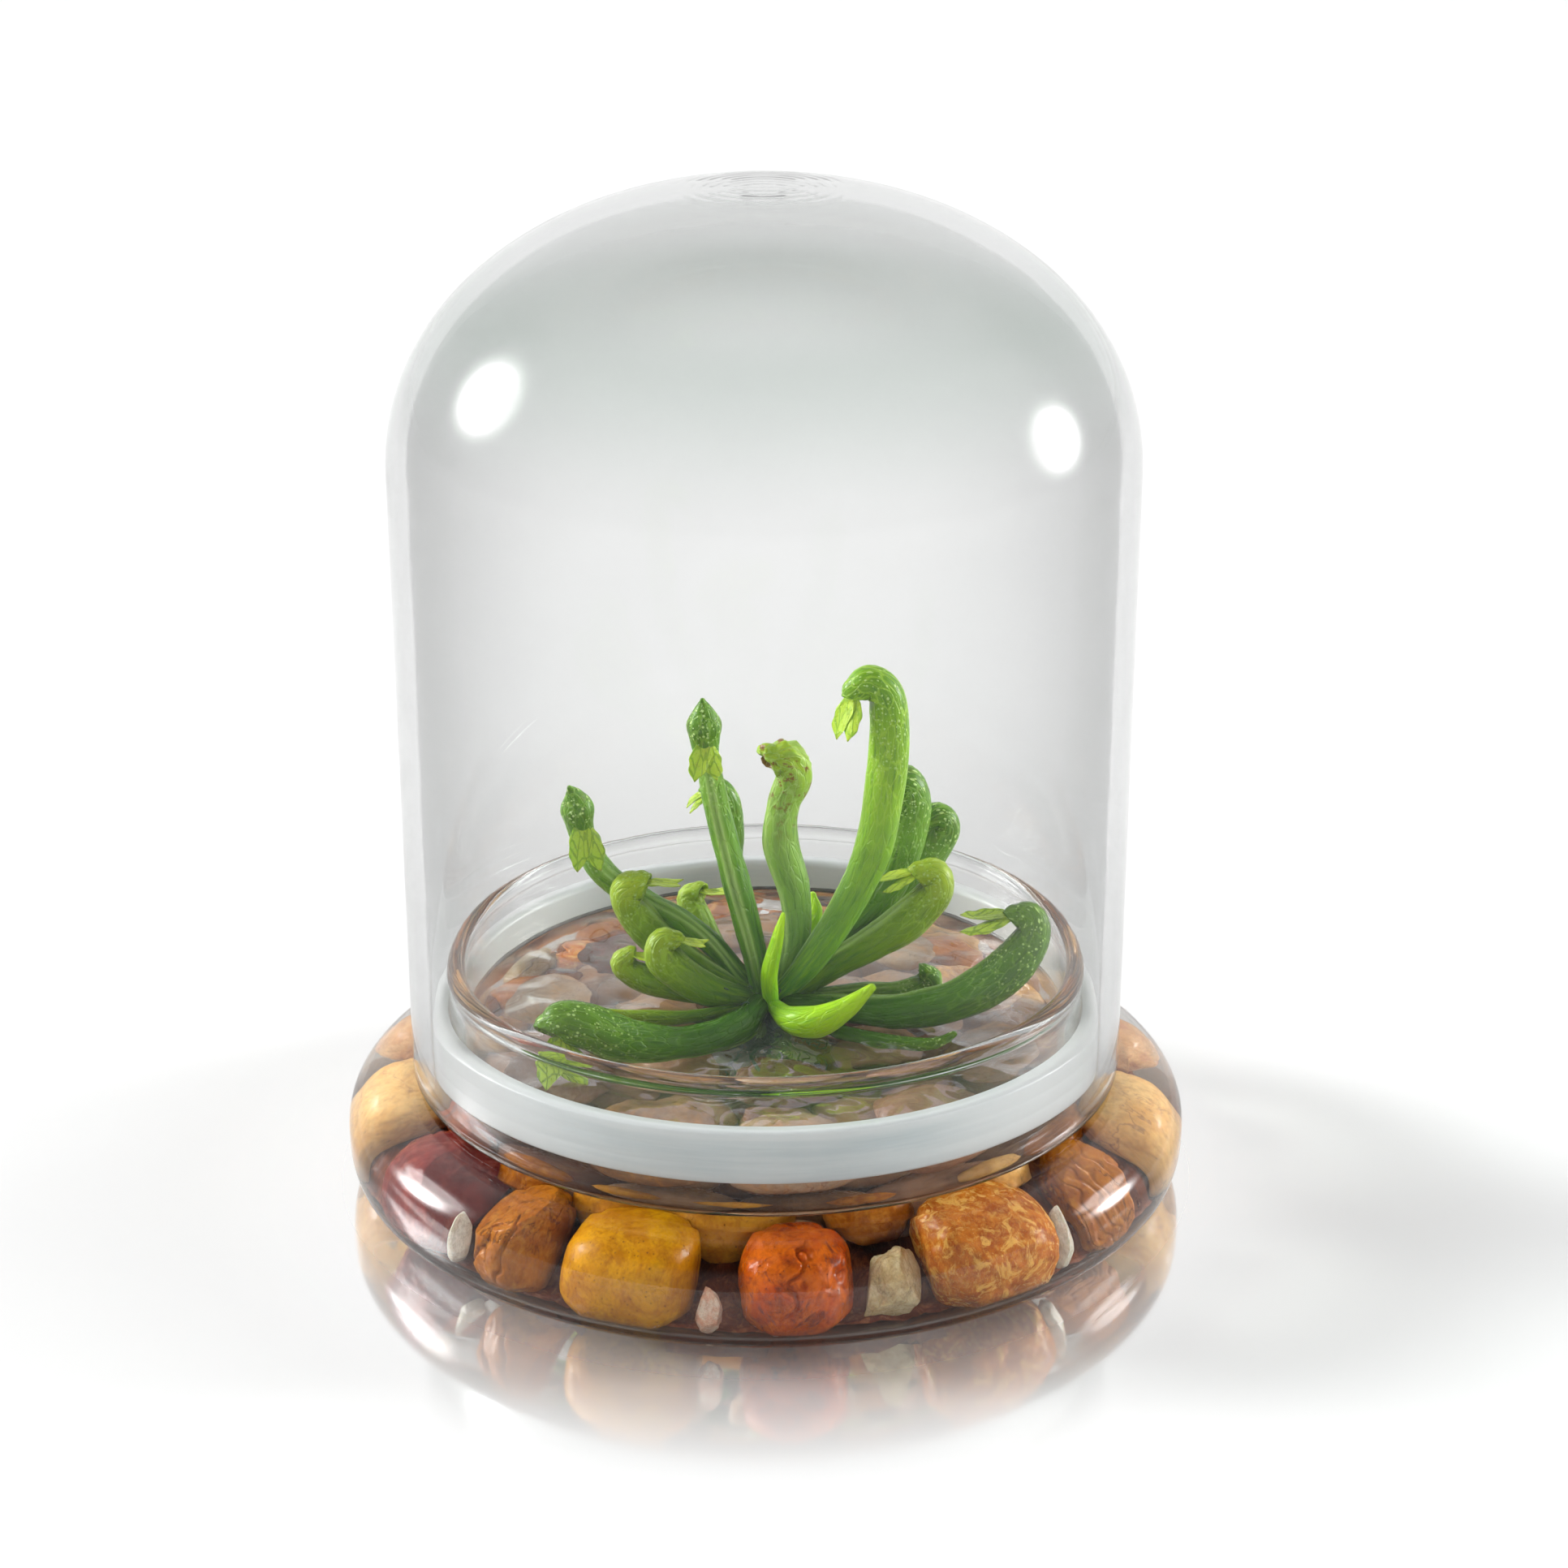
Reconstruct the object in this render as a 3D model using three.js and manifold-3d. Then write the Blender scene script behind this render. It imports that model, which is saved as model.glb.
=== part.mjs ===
// A cobra-lily pitcher plant that grows in a water-filled glass bowl of pebbles, under a lift-off glass dome.
// Millimetres, +Z up. The origin is the centre of the bowl's flat underside, and -Y is the front.

import * as THREE from "three";
import { mergeVertices } from "three/addons/utils/BufferGeometryUtils.js";
import Module from "manifold-3d";

// ---- Driving dimensions ----

const GAP = 0.3; // clearance between pieces that rest against each other
const PEBBLE_LIFT = 0.05; // what a pebble stands above that clearance
const TURN_SIDES = 32; // facets round a turned piece
const SLIVER = 0.05; // slivers that a cut leaves are merged within this distance

const BOWL_RADIUS = 65.3;
const BOWL_FLAT_RADIUS = 40.5; // where the flat underside starts to curve up
const BOWL_EQUATOR_Z = 9.2;
const CAVITY_EQUATOR_Z = 9.6; // a little higher than outside, as the bowl's floor is thin
const BOWL_WALL = 3;
const BOWL_FLOOR = 2.7;
const SHOULDER_WALL = 2;
const SEAT_Z = 18.1; // ledge that carries the dome
const SEAT_INNER_RADIUS = 50.4;
const SEAT_OUTER_RADIUS = 55.5;
const SEAT_ROUNDING = 0.5; // where the ledge meets the shoulder outside and the neck inside
const SHOULDER_START_RADIUS = 50;
const LOWER_POWER = 3.5; // squareness of the bowl's lower curve
const SHOULDER_POWER = 2.4; // squareness of its upper curve

const NECK_RADIUS = 48.94;
const NECK_WALL = 2.2;
const NECK_FLARE = 1.5; // how much wider than the neck the cavity's roof ends
const RIM_Z = 37.7;
const RIM_BEAD_RADIUS = 1.4;

const DOME_RADIUS = 55;
const DOME_WALL = 3;
const DOME_FOOT_Z = SEAT_Z + GAP;
const DOME_STRAIGHT = 94.6;
const CAP_RISE = 41.4;
const CAP_POWER = 2.08; // 2 would be a plain ellipse

const SEAL_BOTTOM_Z = 23;
const SEAL_TOP_Z = 30.8;
const SEAL_RIBS = 3;
const SEAL_RIB_DEPTH = 0.5;

const WATER_Z = 26.2;

const LOWER_PEBBLE_TALL = 11.4;
const LOWER_PEBBLE_Z = BOWL_FLOOR + GAP + PEBBLE_LIFT + LOWER_PEBBLE_TALL / 2;
const UPPER_PEBBLE_Z = 19.1;
const BED_RADIUS = 45.4; // the heap of hidden pebbles
const BED_TOP_Z = 15.6;
const BED_CROWN_RADIUS = 25.8; // its raised middle
const BED_CROWN_Z = 22.6;

const LEAF_SIDES = 6;
const LEAF_STEPS = 10;
const FISHTAIL_THICKNESS = 0.7;

// ---- Materials ----

const material = (color, roughness = 0.5, opacity = 1) =>
  new THREE.MeshStandardMaterial({ color, roughness, metalness: 0, opacity, transparent: opacity < 1 });

const MATERIALS = {
  glass: material(0xe9efed, 0.03, 0.3),
  silicone: material(0xe6eaee, 0.45, 0.8),
  water: material(0xdfe3e0, 0.02, 0.35),
  rhizome: material(0x1c2a2b, 0.7),
  pitcher: material(0x3f7d26, 0.35),
  youngLeaf: material(0x9bcf1c, 0.35),
  ochre: material(0xc88a1c, 0.35),
  orange: material(0xb04a12, 0.35),
  mottled: material(0xb5641c, 0.35),
  brown: material(0x84583a, 0.4),
  tan: material(0xc39a67, 0.4),
  burgundy: material(0x5e2630, 0.35),
  cream: material(0xe2d3ad, 0.45),
};

// ---- Solids ----

const wasm = await Module();
wasm.setup();

/** A manifold-3d solid from a geometry whose points are already in place. */
function solidFrom(geometry) {
  const bare = geometry.clone();
  bare.deleteAttribute("normal");
  bare.deleteAttribute("uv");
  const merged = mergeVertices(bare, 1e-3);
  return new wasm.Manifold(
    new wasm.Mesh({
      numProp: 3,
      vertProperties: new Float32Array(merged.attributes.position.array),
      triVerts: new Uint32Array(merged.index.array),
    })
  );
}

function geometryFrom(solid) {
  const { vertProperties, triVerts } = solid.getMesh();
  const geometry = new THREE.BufferGeometry();
  geometry.setAttribute("position", new THREE.BufferAttribute(vertProperties, 3));
  geometry.setIndex(new THREE.BufferAttribute(triVerts, 1));
  geometry.computeVertexNormals();
  return geometry;
}

/** What a cut leaves of a piece: its largest body, without slivers. */
function afterCut(solid) {
  const bodies = solid.simplify(SLIVER).decompose();
  return bodies.reduce((best, body) => (body.volume() > best.volume() ? body : best));
}

function piece(name, solid, look) {
  const mesh = new THREE.Mesh(geometryFrom(solid), MATERIALS[look]);
  mesh.name = name;
  return mesh;
}

// ---- Turned pieces ----

/** Points on a quarter of a superellipse, from its side (radius + across) to its top or bottom (z + up). */
function superQuarter(radius, z, across, up, power, steps) {
  return Array.from({ length: steps + 1 }, (_, i) => {
    const angle = (i / steps) * (Math.PI / 2);
    return new THREE.Vector2(
      radius + across * Math.cos(angle) ** (2 / power),
      z + up * Math.sin(angle) ** (2 / power)
    );
  });
}

/** The solid swept by a profile of (radius, z) points about the Z axis. */
function turned(profile) {
  const geometry = new THREE.LatheGeometry(profile, TURN_SIDES).rotateX(Math.PI / 2);
  return solidFrom(geometry);
}

const point = (radius, z) => new THREE.Vector2(radius, z);

function domeSolid() {
  const capZ = DOME_FOOT_Z + DOME_STRAIGHT;
  const innerRadius = DOME_RADIUS - DOME_WALL;
  const edge = DOME_WALL / 2;
  const outer = superQuarter(0, capZ, DOME_RADIUS, CAP_RISE, CAP_POWER, 10);
  const inner = superQuarter(0, capZ, innerRadius, CAP_RISE - DOME_WALL, CAP_POWER, 10);
  const foot = [-0.5, -0.25, 0, 0.25, 0.5].map((turn) =>
    point(
      innerRadius + edge + edge * Math.sin(turn * Math.PI),
      DOME_FOOT_Z + edge - edge * Math.cos(turn * Math.PI)
    )
  );
  return turned([...inner.reverse(), ...foot, ...outer]);
}

/** The bowl's inner wall, from the floor's centre up to a height in the neck, moved inwards by inset. */
function cavityProfile(inset, topZ) {
  const side = BOWL_RADIUS - BOWL_WALL - inset;
  const floorZ = BOWL_FLOOR + inset;
  const roofZ = SEAT_Z - SHOULDER_WALL - inset;
  const neck = NECK_RADIUS - NECK_WALL - inset;
  const roofRadius = neck + NECK_FLARE;
  const lower = superQuarter(
    BOWL_FLAT_RADIUS, CAVITY_EQUATOR_Z, side - BOWL_FLAT_RADIUS, floorZ - CAVITY_EQUATOR_Z, LOWER_POWER, 5
  );
  const upper = superQuarter(
    roofRadius, CAVITY_EQUATOR_Z, side - roofRadius, roofZ - CAVITY_EQUATOR_Z, SHOULDER_POWER, 4
  );
  return [
    point(0, floorZ),
    ...lower.reverse(),
    ...upper.slice(1),
    point(neck + 0.4, roofZ + 0.5),
    point(neck, roofZ + 2),
    point(neck, topZ),
  ];
}

function bowlSolid() {
  const lower = superQuarter(
    BOWL_FLAT_RADIUS, BOWL_EQUATOR_Z, BOWL_RADIUS - BOWL_FLAT_RADIUS, -BOWL_EQUATOR_Z, LOWER_POWER, 6
  );
  const shoulder = superQuarter(
    SHOULDER_START_RADIUS, BOWL_EQUATOR_Z, BOWL_RADIUS - SHOULDER_START_RADIUS, SEAT_Z - BOWL_EQUATOR_Z,
    SHOULDER_POWER, 7
  ).filter((p) => p.x > SEAT_OUTER_RADIUS + SEAT_ROUNDING);
  const beadZ = RIM_Z - RIM_BEAD_RADIUS;
  const bead = [-0.22, 0, 0.25, 0.5, 0.75, 1, 1.22].map((turn) =>
    point(
      NECK_RADIUS - NECK_WALL / 2 + RIM_BEAD_RADIUS * Math.cos(turn * Math.PI),
      beadZ + RIM_BEAD_RADIUS * Math.sin(turn * Math.PI)
    )
  );
  const inner = cavityProfile(0, beadZ - RIM_BEAD_RADIUS);
  return turned([
    point(0, 0),
    ...lower.reverse(),
    ...shoulder.slice(1),
    point(SEAT_OUTER_RADIUS, SEAT_Z),
    point(SEAT_INNER_RADIUS, SEAT_Z),
    point(NECK_RADIUS + 0.4, SEAT_Z + SEAT_ROUNDING),
    point(NECK_RADIUS, SEAT_Z + 1.5),
    ...bead,
    ...inner.reverse(),
  ]);
}

function sealSolid() {
  const inner = NECK_RADIUS + GAP;
  const outer = DOME_RADIUS - DOME_WALL - GAP;
  const pitch = (SEAL_TOP_Z - SEAL_BOTTOM_Z) / SEAL_RIBS;
  const ribs = Array.from({ length: SEAL_RIBS }, (_, i) => {
    const z = SEAL_BOTTOM_Z + i * pitch;
    return [
      point(outer - SEAL_RIB_DEPTH, z),
      point(outer, z + 0.3 * pitch),
      point(outer, z + 0.7 * pitch),
    ];
  }).flat();
  const start = point(inner, SEAL_BOTTOM_Z);
  const top = [point(outer - SEAL_RIB_DEPTH, SEAL_TOP_Z), point(inner, SEAL_TOP_Z)];
  return turned([start, ...ribs, ...top, start.clone()]);
}

// ---- Pebbles ----

/** An ellipsoid of full sizes across the ring, through it and tall. Front is angle 0, right is 90. */
function pebbleSolid(row, grow = 0) {
  const { angle, radius, z, across, deep, tall, turn = 0, tilt = 0, hidden = false } = row;
  const azimuth = THREE.MathUtils.degToRad(angle - 90);
  const round = hidden ? new THREE.OctahedronGeometry(1, 1) : new THREE.IcosahedronGeometry(1, 1);
  const shape = round.scale(deep / 2 + grow, across / 2 + grow, tall / 2 + grow);
  shape.rotateX(THREE.MathUtils.degToRad(tilt));
  shape.rotateZ(azimuth + THREE.MathUtils.degToRad(turn));
  shape.translate(radius * Math.cos(azimuth), radius * Math.sin(azimuth), z);
  return solidFrom(shape);
}

// The outer ring lies against the glass wall.
const OUTER_RADIUS = 53.2;
const OUTER_PEBBLES = [
  { look: "ochre", angle: -19.5, across: 18.4, deep: 15, tall: 12.6, tilt: 4 },
  { look: "orange", angle: 4.5, across: 15.4, deep: 14.6, tall: 12.2, tilt: -3 },
  { look: "mottled", angle: 34, across: 20, deep: 15.2, tall: 12.6, tilt: -4 },
  { look: "brown", angle: 56.5, across: 12.6, deep: 13, tall: 11.6, tilt: 6 },
  { look: "tan", angle: 79, across: 19.4, deep: 15, tall: 12.6, tilt: 3 },
  { look: "orange", angle: 103, across: 18, deep: 14.2, tall: 11.8, tilt: -5 },
  { look: "brown", angle: 124.5, across: 16.4, deep: 14.6, tall: 12.2, tilt: 4 },
  { look: "tan", angle: 146.5, across: 18.6, deep: 14, tall: 12, tilt: -3 },
  { look: "ochre", angle: 168.5, across: 16.8, deep: 15, tall: 12.4, tilt: 5 },
  { look: "mottled", angle: 190, across: 18.2, deep: 14.4, tall: 11.8, tilt: -4 },
  { look: "brown", angle: 211.5, across: 15.8, deep: 14.8, tall: 12.3, tilt: 3 },
  { look: "cream", angle: 232, across: 17, deep: 14.2, tall: 12, tilt: -5 },
  { look: "orange", angle: 254, across: 17.6, deep: 14.6, tall: 12, tilt: 4 },
  { look: "tan", angle: 277, across: 19.2, deep: 15, tall: 12.6, tilt: -3 },
  { look: "burgundy", angle: 302.5, across: 20.4, deep: 14.8, tall: 12.4, tilt: 5 },
  { look: "brown", angle: 321.5, across: 12.4, deep: 13.4, tall: 12.2, tilt: 8 },
].map((row) => ({ ...row, radius: OUTER_RADIUS, z: BOWL_FLOOR + GAP + PEBBLE_LIFT + row.tall / 2 }));

// The upper layer lies just under the water, inside the neck.
const UPPER_RADIUS = 36;
const UPPER_PEBBLES = [
  { look: "brown", angle: -25, across: 18.4, deep: 13.6, tall: 8, turn: 6 },
  { look: "tan", angle: 6, across: 19, deep: 12.4, tall: 7.8, turn: -4 },
  { look: "orange", angle: 40, across: 18, deep: 14, tall: 8, turn: 5 },
  { look: "brown", angle: 75, across: 20, deep: 13.4, tall: 7.6, turn: -6 },
  { look: "mottled", angle: 111, across: 19, deep: 14, tall: 8, turn: 8 },
  { look: "tan", angle: 147, across: 20, deep: 13, tall: 7.8, turn: -5 },
  { look: "brown", angle: 183, across: 18.6, deep: 14, tall: 8, turn: 4 },
  { look: "burgundy", angle: 219, across: 19.4, deep: 13.2, tall: 7.8, turn: -7 },
  { look: "tan", angle: 255, across: 19, deep: 14, tall: 8, turn: 6 },
  { look: "orange", angle: 299, across: 21, deep: 13.6, tall: 7.8, turn: -4 },
].map((row) => ({ ...row, radius: UPPER_RADIUS, z: UPPER_PEBBLE_Z }));

// Small broken chips lie on the floor between the outer pebbles.
const CHIPS = [
  { look: "cream", angle: -7.4, radius: 57.4, z: 6.6, across: 4, deep: 3.6, tall: 5, tilt: 12 },
  { look: "cream", angle: 18.6, radius: 54.6, z: 6.7, across: 9.4, deep: 6.4, tall: 5.8, tilt: 20 },
  { look: "cream", angle: 45.4, radius: 57.2, z: 7.4, across: 3.4, deep: 4, tall: 6.6, tilt: -10 },
  { look: "cream", angle: -46.8, radius: 57.2, z: 7, across: 3, deep: 3.6, tall: 5.4, tilt: 15 },
];

/** The hidden inner pebbles: two rings on the floor and one above, modelled as joined where they touch. */
function pebbleBedRows() {
  const ring = (count, first, radius, z, across, deep, tall) =>
    Array.from({ length: count }, (_, i) => ({
      angle: first + (360 / count) * i, radius, z, across, deep, tall, hidden: true,
    }));
  return [
    ...ring(12, 9, 35.8, LOWER_PEBBLE_Z, 19.8, 18.6, LOWER_PEBBLE_TALL),
    ...ring(6, 9, 17.6, LOWER_PEBBLE_Z, 18.8, 19, LOWER_PEBBLE_TALL),
    ...ring(6, 9, 18.4, LOWER_PEBBLE_Z + 8.8, 16.6, 13.2, 8.2),
  ];
}

// ---- Plant ----

// Each leaf is a row of [x, y, z, half width] down its centre line, from the crown to the end of its hood.
// A fishtail is [x, y, z] where it leaves the hood, the [x, y, z] way that it points, and its length.
const LEAVES = [
  {
    name: "pitcher_tall_right",
    line: [
      [2.2, -0.5, 28.5, 1.7], [6.5, -1.5, 34, 2], [12.1, -1, 42.7, 2.3], [16.4, 0, 52, 2.5],
      [18.3, 1, 62, 2.8], [18.9, 2, 71, 3], [18, 2.4, 77, 3.1], [15.6, 2.2, 78.8, 2.8], [13.4, 1.8, 77.6, 2],
    ],
    fishtail: [[13.2, 1.5, 77.2], [-0.25, -0.2, -1], 7.4],
  },
  {
    name: "pitcher_behind_tall_right",
    line: [
      [4.5, 2, 28.5, 1.7], [11, 6, 34.5, 2.2], [18.1, 10, 40.5, 2.8], [22, 13, 49, 3.3],
      [22.8, 14, 55, 3.2], [21.4, 13.6, 58.4, 2.8], [18.8, 12.6, 58.2, 1.9],
    ],
    fishtail: [[18.4, 12.4, 57.8], [-0.25, -0.2, -1], 6.4],
  },
  {
    name: "pitcher_right",
    line: [
      [5, 4, 28, 1.6], [13, 9, 35, 2], [21, 13, 41, 2.5], [26.7, 16.5, 46, 2.7],
      [28.6, 17.5, 49.6, 2.7], [27.2, 17.2, 51.2, 2.4], [25, 16.5, 50.4, 1.8],
    ],
    fishtail: [[25, 16.4, 50], [-0.5, -0.2, -0.9], 7],
  },
  {
    name: "pitcher_low_right",
    line: [
      [4, 0, 28.6, 1.7], [9.5, 1.5, 32, 2.2], [16, 3, 35.3, 2.6], [22.5, 4.8, 39, 2.9],
      [26.4, 5.8, 43.4, 3], [26.2, 6, 46, 2.8], [23.8, 5.4, 46.6, 1.9],
    ],
    fishtail: [[23.6, 5.3, 46.4], [-1, -0.15, -0.25], 6.6],
  },
  {
    name: "pitcher_far_right",
    line: [
      [4, -2, 27.6, 1.8], [11, -5, 28.3, 2.2], [20, -8, 29, 2.6], [30, -9, 31.8, 3],
      [37, -8.5, 36.5, 3.2], [40.4, -7, 41.4, 3], [40, -6.4, 44, 2.7], [37.8, -6, 44.2, 1.8],
    ],
    fishtail: [[37.6, -6, 44], [-1, -0.1, -0.05], 8.4],
  },
  {
    name: "pitcher_centre",
    line: [
      [2.5, 2, 28.5, 1.6], [4.8, 4.5, 35, 2], [4.6, 6, 43, 2.3], [2.4, 7, 51.5, 2.6],
      [3, 7.5, 57.5, 2.3], [4.4, 8, 61.5, 2.8], [3.4, 7.8, 64.4, 3], [0.8, 7, 65.2, 2],
    ],
  },
  {
    name: "pitcher_tall_left",
    line: [
      [-0.5, -0.5, 28.5, 1.7], [-1.8, 0, 36, 2], [-4.6, 1.5, 47, 2.2], [-7.3, 2.6, 58, 2.1],
      [-8.8, 3, 66, 1.9], [-9.2, 3, 69.5, 2.4], [-9.3, 2.9, 72, 2.8], [-9.4, 2.8, 74.2, 1.6],
      [-9.5, 2.7, 75.8, 0.4],
    ],
    fishtail: [[-9.1, 1.4, 69.8], [0.02, -0.5, -0.9], 6.6],
  },
  {
    name: "pitcher_behind_tall_left",
    line: [
      [-1, 3, 28.3, 1.5], [-3, 7, 36, 1.8], [-5.2, 10, 44, 2.1], [-6, 11.5, 51, 2.5],
      [-6.4, 12, 55.6, 2.6], [-7.8, 11.8, 58, 2], [-9.2, 11.3, 58, 1.3],
    ],
    fishtail: [[-9, 11.3, 58], [-0.8, -0.2, -0.6], 4.6],
  },
  {
    name: "pitcher_far_left",
    line: [
      [-2.2, 1.5, 28.4, 1.6], [-9.4, 6, 35, 2], [-18.3, 9, 39.5, 2.2], [-25, 10, 44, 2.3],
      [-28.2, 10, 49, 2], [-29.2, 9.7, 53, 2.2], [-29.5, 9.3, 55.8, 2.8], [-29.9, 8.8, 58, 1.6],
      [-30.5, 8.2, 59.6, 0.4],
    ],
    fishtail: [[-28.8, 8.4, 53.8], [0.2, -0.4, -0.9], 8],
  },
  {
    name: "pitcher_left",
    line: [
      [-2.8, 0.8, 28.2, 1.7], [-10.7, 4.2, 31, 2.1], [-17, 6.2, 35, 2.6], [-21, 6.8, 40, 2.9],
      [-21.4, 6.8, 43.2, 2.8], [-19.4, 6.3, 44.6, 1.9],
    ],
    fishtail: [[-19.2, 6.2, 44.4], [1, -0.15, 0.05], 6.2],
  },
  {
    name: "pitcher_low_left",
    line: [
      [-3, -1, 27.9, 1.7], [-9.2, -2, 30, 2.3], [-13.5, -2.2, 33, 2.6], [-16, -2.2, 36, 2.7],
      [-15.6, -2, 38.2, 2.3], [-13.8, -1.8, 38.4, 1.5],
    ],
    fishtail: [[-13.8, -1.8, 38.3], [1, -0.1, -0.05], 5.4],
  },
  {
    name: "pitcher_small_left",
    line: [
      [-4.4, 1.4, 27.2, 1.3], [-12.6, 1.8, 28, 1.7], [-19.5, 2, 30.2, 2.1], [-22.4, 2.2, 32.8, 2],
      [-21, 2, 34.4, 1.3],
    ],
    fishtail: [[-21, 2, 34.2], [0.9, -0.3, 0.1], 4.6],
  },
  {
    name: "pitcher_back_left",
    line: [
      [-3, 4, 28, 1.4], [-7.6, 10, 31, 1.9], [-11, 14.5, 35, 2.3], [-12.2, 16, 37.8, 2.2],
      [-10.6, 15.6, 39.4, 1.5],
    ],
    fishtail: [[-10.6, 15.4, 39.2], [1, -0.2, 0.1], 5],
  },
  {
    name: "pitcher_front_left",
    line: [
      [-1, -3, 27.8, 1.9], [-4, -9, 27.1, 2.4], [-10.5, -14.5, 27, 2.7], [-20, -18.5, 29.3, 3.1],
      [-26.5, -20.3, 32.6, 3.4], [-30.2, -20.9, 33.6, 3], [-32.2, -21.1, 33, 1.8],
    ],
    fishtail: [[-30.6, -22.4, 32], [0.3, -0.6, -0.75], 8.6],
  },
  {
    name: "young_leaf_front",
    look: "youngLeaf",
    line: [
      [1.5, -3.6, 27.8, 1.6], [4, -8.5, 28, 2.7], [7.5, -11, 28.8, 2.9], [12, -12, 31.5, 2],
      [16, -12, 35, 0.8],
    ],
  },
  {
    name: "young_leaf_upright",
    look: "youngLeaf",
    line: [[0.8, -3.2, 28.6, 1.5], [0.6, -4.6, 34, 1.6], [1.8, -4.8, 39.6, 1.1], [2.7, -4.6, 43.8, 0.4]],
  },
  {
    name: "pitcher_small_right",
    line: [
      [5.4, 2, 26.9, 1.2], [15.4, 3, 27.3, 1.6], [22.6, 2.6, 27.8, 1.9], [25.8, 2.4, 29.8, 2],
      [24.6, 2, 31.4, 1.3],
    ],
  },
  {
    name: "leaf_floating_right",
    line: [
      [3.6, -4, 26.8, 1.4], [12, -9.8, 26, 1.8], [19.5, -12.8, 25.8, 1.8], [25.5, -13.2, 26, 1.4],
      [28.5, -12.8, 27.6, 0.6],
    ],
  },
  {
    name: "leaf_floating_left",
    line: [[-4.2, -2.2, 26.8, 1.2], [-12, -5.6, 26.9, 1.5], [-20, -7, 27.6, 1.4], [-25, -7.2, 28.6, 0.8]],
  },
  {
    name: "young_leaf_back",
    look: "youngLeaf",
    line: [[2.4, 4.4, 28.3, 1.2], [5.6, 10, 32.5, 1.7], [7.6, 13, 36.6, 1.6], [7.4, 14.2, 39, 0.7]],
  },
];

// Thin roots lie over the pebbles, under the water. Each is a row of [x, y, z] points.
const ROOT_HALF_WIDTH = 0.55;
const ROOT_SIDES = 6;
const ROOT_STEPS = 7;
const ROOTS = [
  { name: "root_left", line: [[-3, -2.4, 23], [-8.6, -4.4, 24.4], [-15, -3.6, 24.6], [-19, -6, 24.5]] },
  { name: "root_front", line: [[0.6, -3.6, 22], [2, -9.6, 24.3], [-2, -15, 24.5], [-1, -21, 24.4]] },
  { name: "root_right", line: [[3.4, -1, 22.6], [9.6, -1.8, 24.4], [16.4, -4.6, 24.5], [22, -4, 24.4]] },
];

/** A round tube of varying half width along a smooth centre line, closed at both ends. */
function tubeSolid(rows, sides, steps, grow = 0) {
  const path = new THREE.CatmullRomCurve3(rows.map(([x, y, z]) => new THREE.Vector3(x, y, z)));
  const halfWidths = rows.map(([, , , halfWidth]) => new THREE.Vector3(halfWidth, 0, 0));
  const widths = new THREE.CatmullRomCurve3(halfWidths, false, "catmullrom");
  const frames = path.computeFrenetFrames(steps, false);
  const geometry = new THREE.CylinderGeometry(1, 1, 1, sides, steps);
  const position = geometry.attributes.position;
  for (let i = 0; i < position.count; i += 1) {
    const along = position.getY(i) + 0.5;
    const step = Math.round(along * steps);
    const width = widths.getPoint(path.getUtoTmapping(along)).x + grow;
    const place = path.getPointAt(along)
      .addScaledVector(frames.normals[step], position.getX(i) * width)
      .addScaledVector(frames.binormals[step], -position.getZ(i) * width);
    position.setXYZ(i, place.x, place.y, place.z);
  }
  return solidFrom(geometry);
}

/** The forked blade that hangs from a hood's mouth. */
function fishtailSolid([from, aim, length]) {
  const outline = new THREE.Shape([
    point(-0.12 * length, 0), point(0.12 * length, 0), point(0.3 * length, 0.55 * length),
    point(0.24 * length, length), point(0, 0.6 * length), point(-0.24 * length, length),
    point(-0.3 * length, 0.55 * length),
  ]);
  const settings = { depth: FISHTAIL_THICKNESS, bevelEnabled: false };
  const blade = new THREE.ExtrudeGeometry(outline, settings).translate(0, 0, -FISHTAIL_THICKNESS / 2);
  const down = new THREE.Vector3(...aim).normalize();
  const wide = new THREE.Vector3(-down.y, down.x, 0).normalize();
  const place = new THREE.Matrix4().makeBasis(wide, down, wide.clone().cross(down));
  return solidFrom(blade.applyMatrix4(place.setPosition(...from)));
}

function rhizomeSolid(grow = 0) {
  const outline = [[2, 12.2], [4.4, 15], [5, 19], [4.4, 23], [3.6, 26.5], [2.4, 29]];
  return turned([
    point(0, outline[0][1] - grow),
    ...outline.map(([radius, z]) => point(radius + grow, z)),
    point(0, outline.at(-1)[1] + grow),
  ]);
}

/** Every plant piece in order, each cut clear of the ones before it. */
function plantPieces() {
  let taken = rhizomeSolid(GAP);
  const pieces = [piece("rhizome", rhizomeSolid(), "rhizome")];
  for (const { name, look = "pitcher", line, fishtail } of LEAVES) {
    const whole = tubeSolid(line, LEAF_SIDES, LEAF_STEPS);
    const leaf = fishtail ? whole.add(fishtailSolid(fishtail)) : whole;
    pieces.push(piece(name, afterCut(leaf.subtract(taken)), look));
    taken = taken.add(tubeSolid(line, LEAF_SIDES, LEAF_STEPS, GAP));
    if (fishtail) {
      taken = taken.add(fishtailSolid(fishtail));
    }
  }
  for (const { name, line } of ROOTS) {
    const rows = line.map((place) => [...place, ROOT_HALF_WIDTH]);
    pieces.push(piece(name, afterCut(tubeSolid(rows, ROOT_SIDES, ROOT_STEPS).subtract(taken)), "rhizome"));
    taken = taken.add(tubeSolid(rows, ROOT_SIDES, ROOT_STEPS, GAP));
  }
  return { pieces, taken };
}

// ---- Water ----

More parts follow.
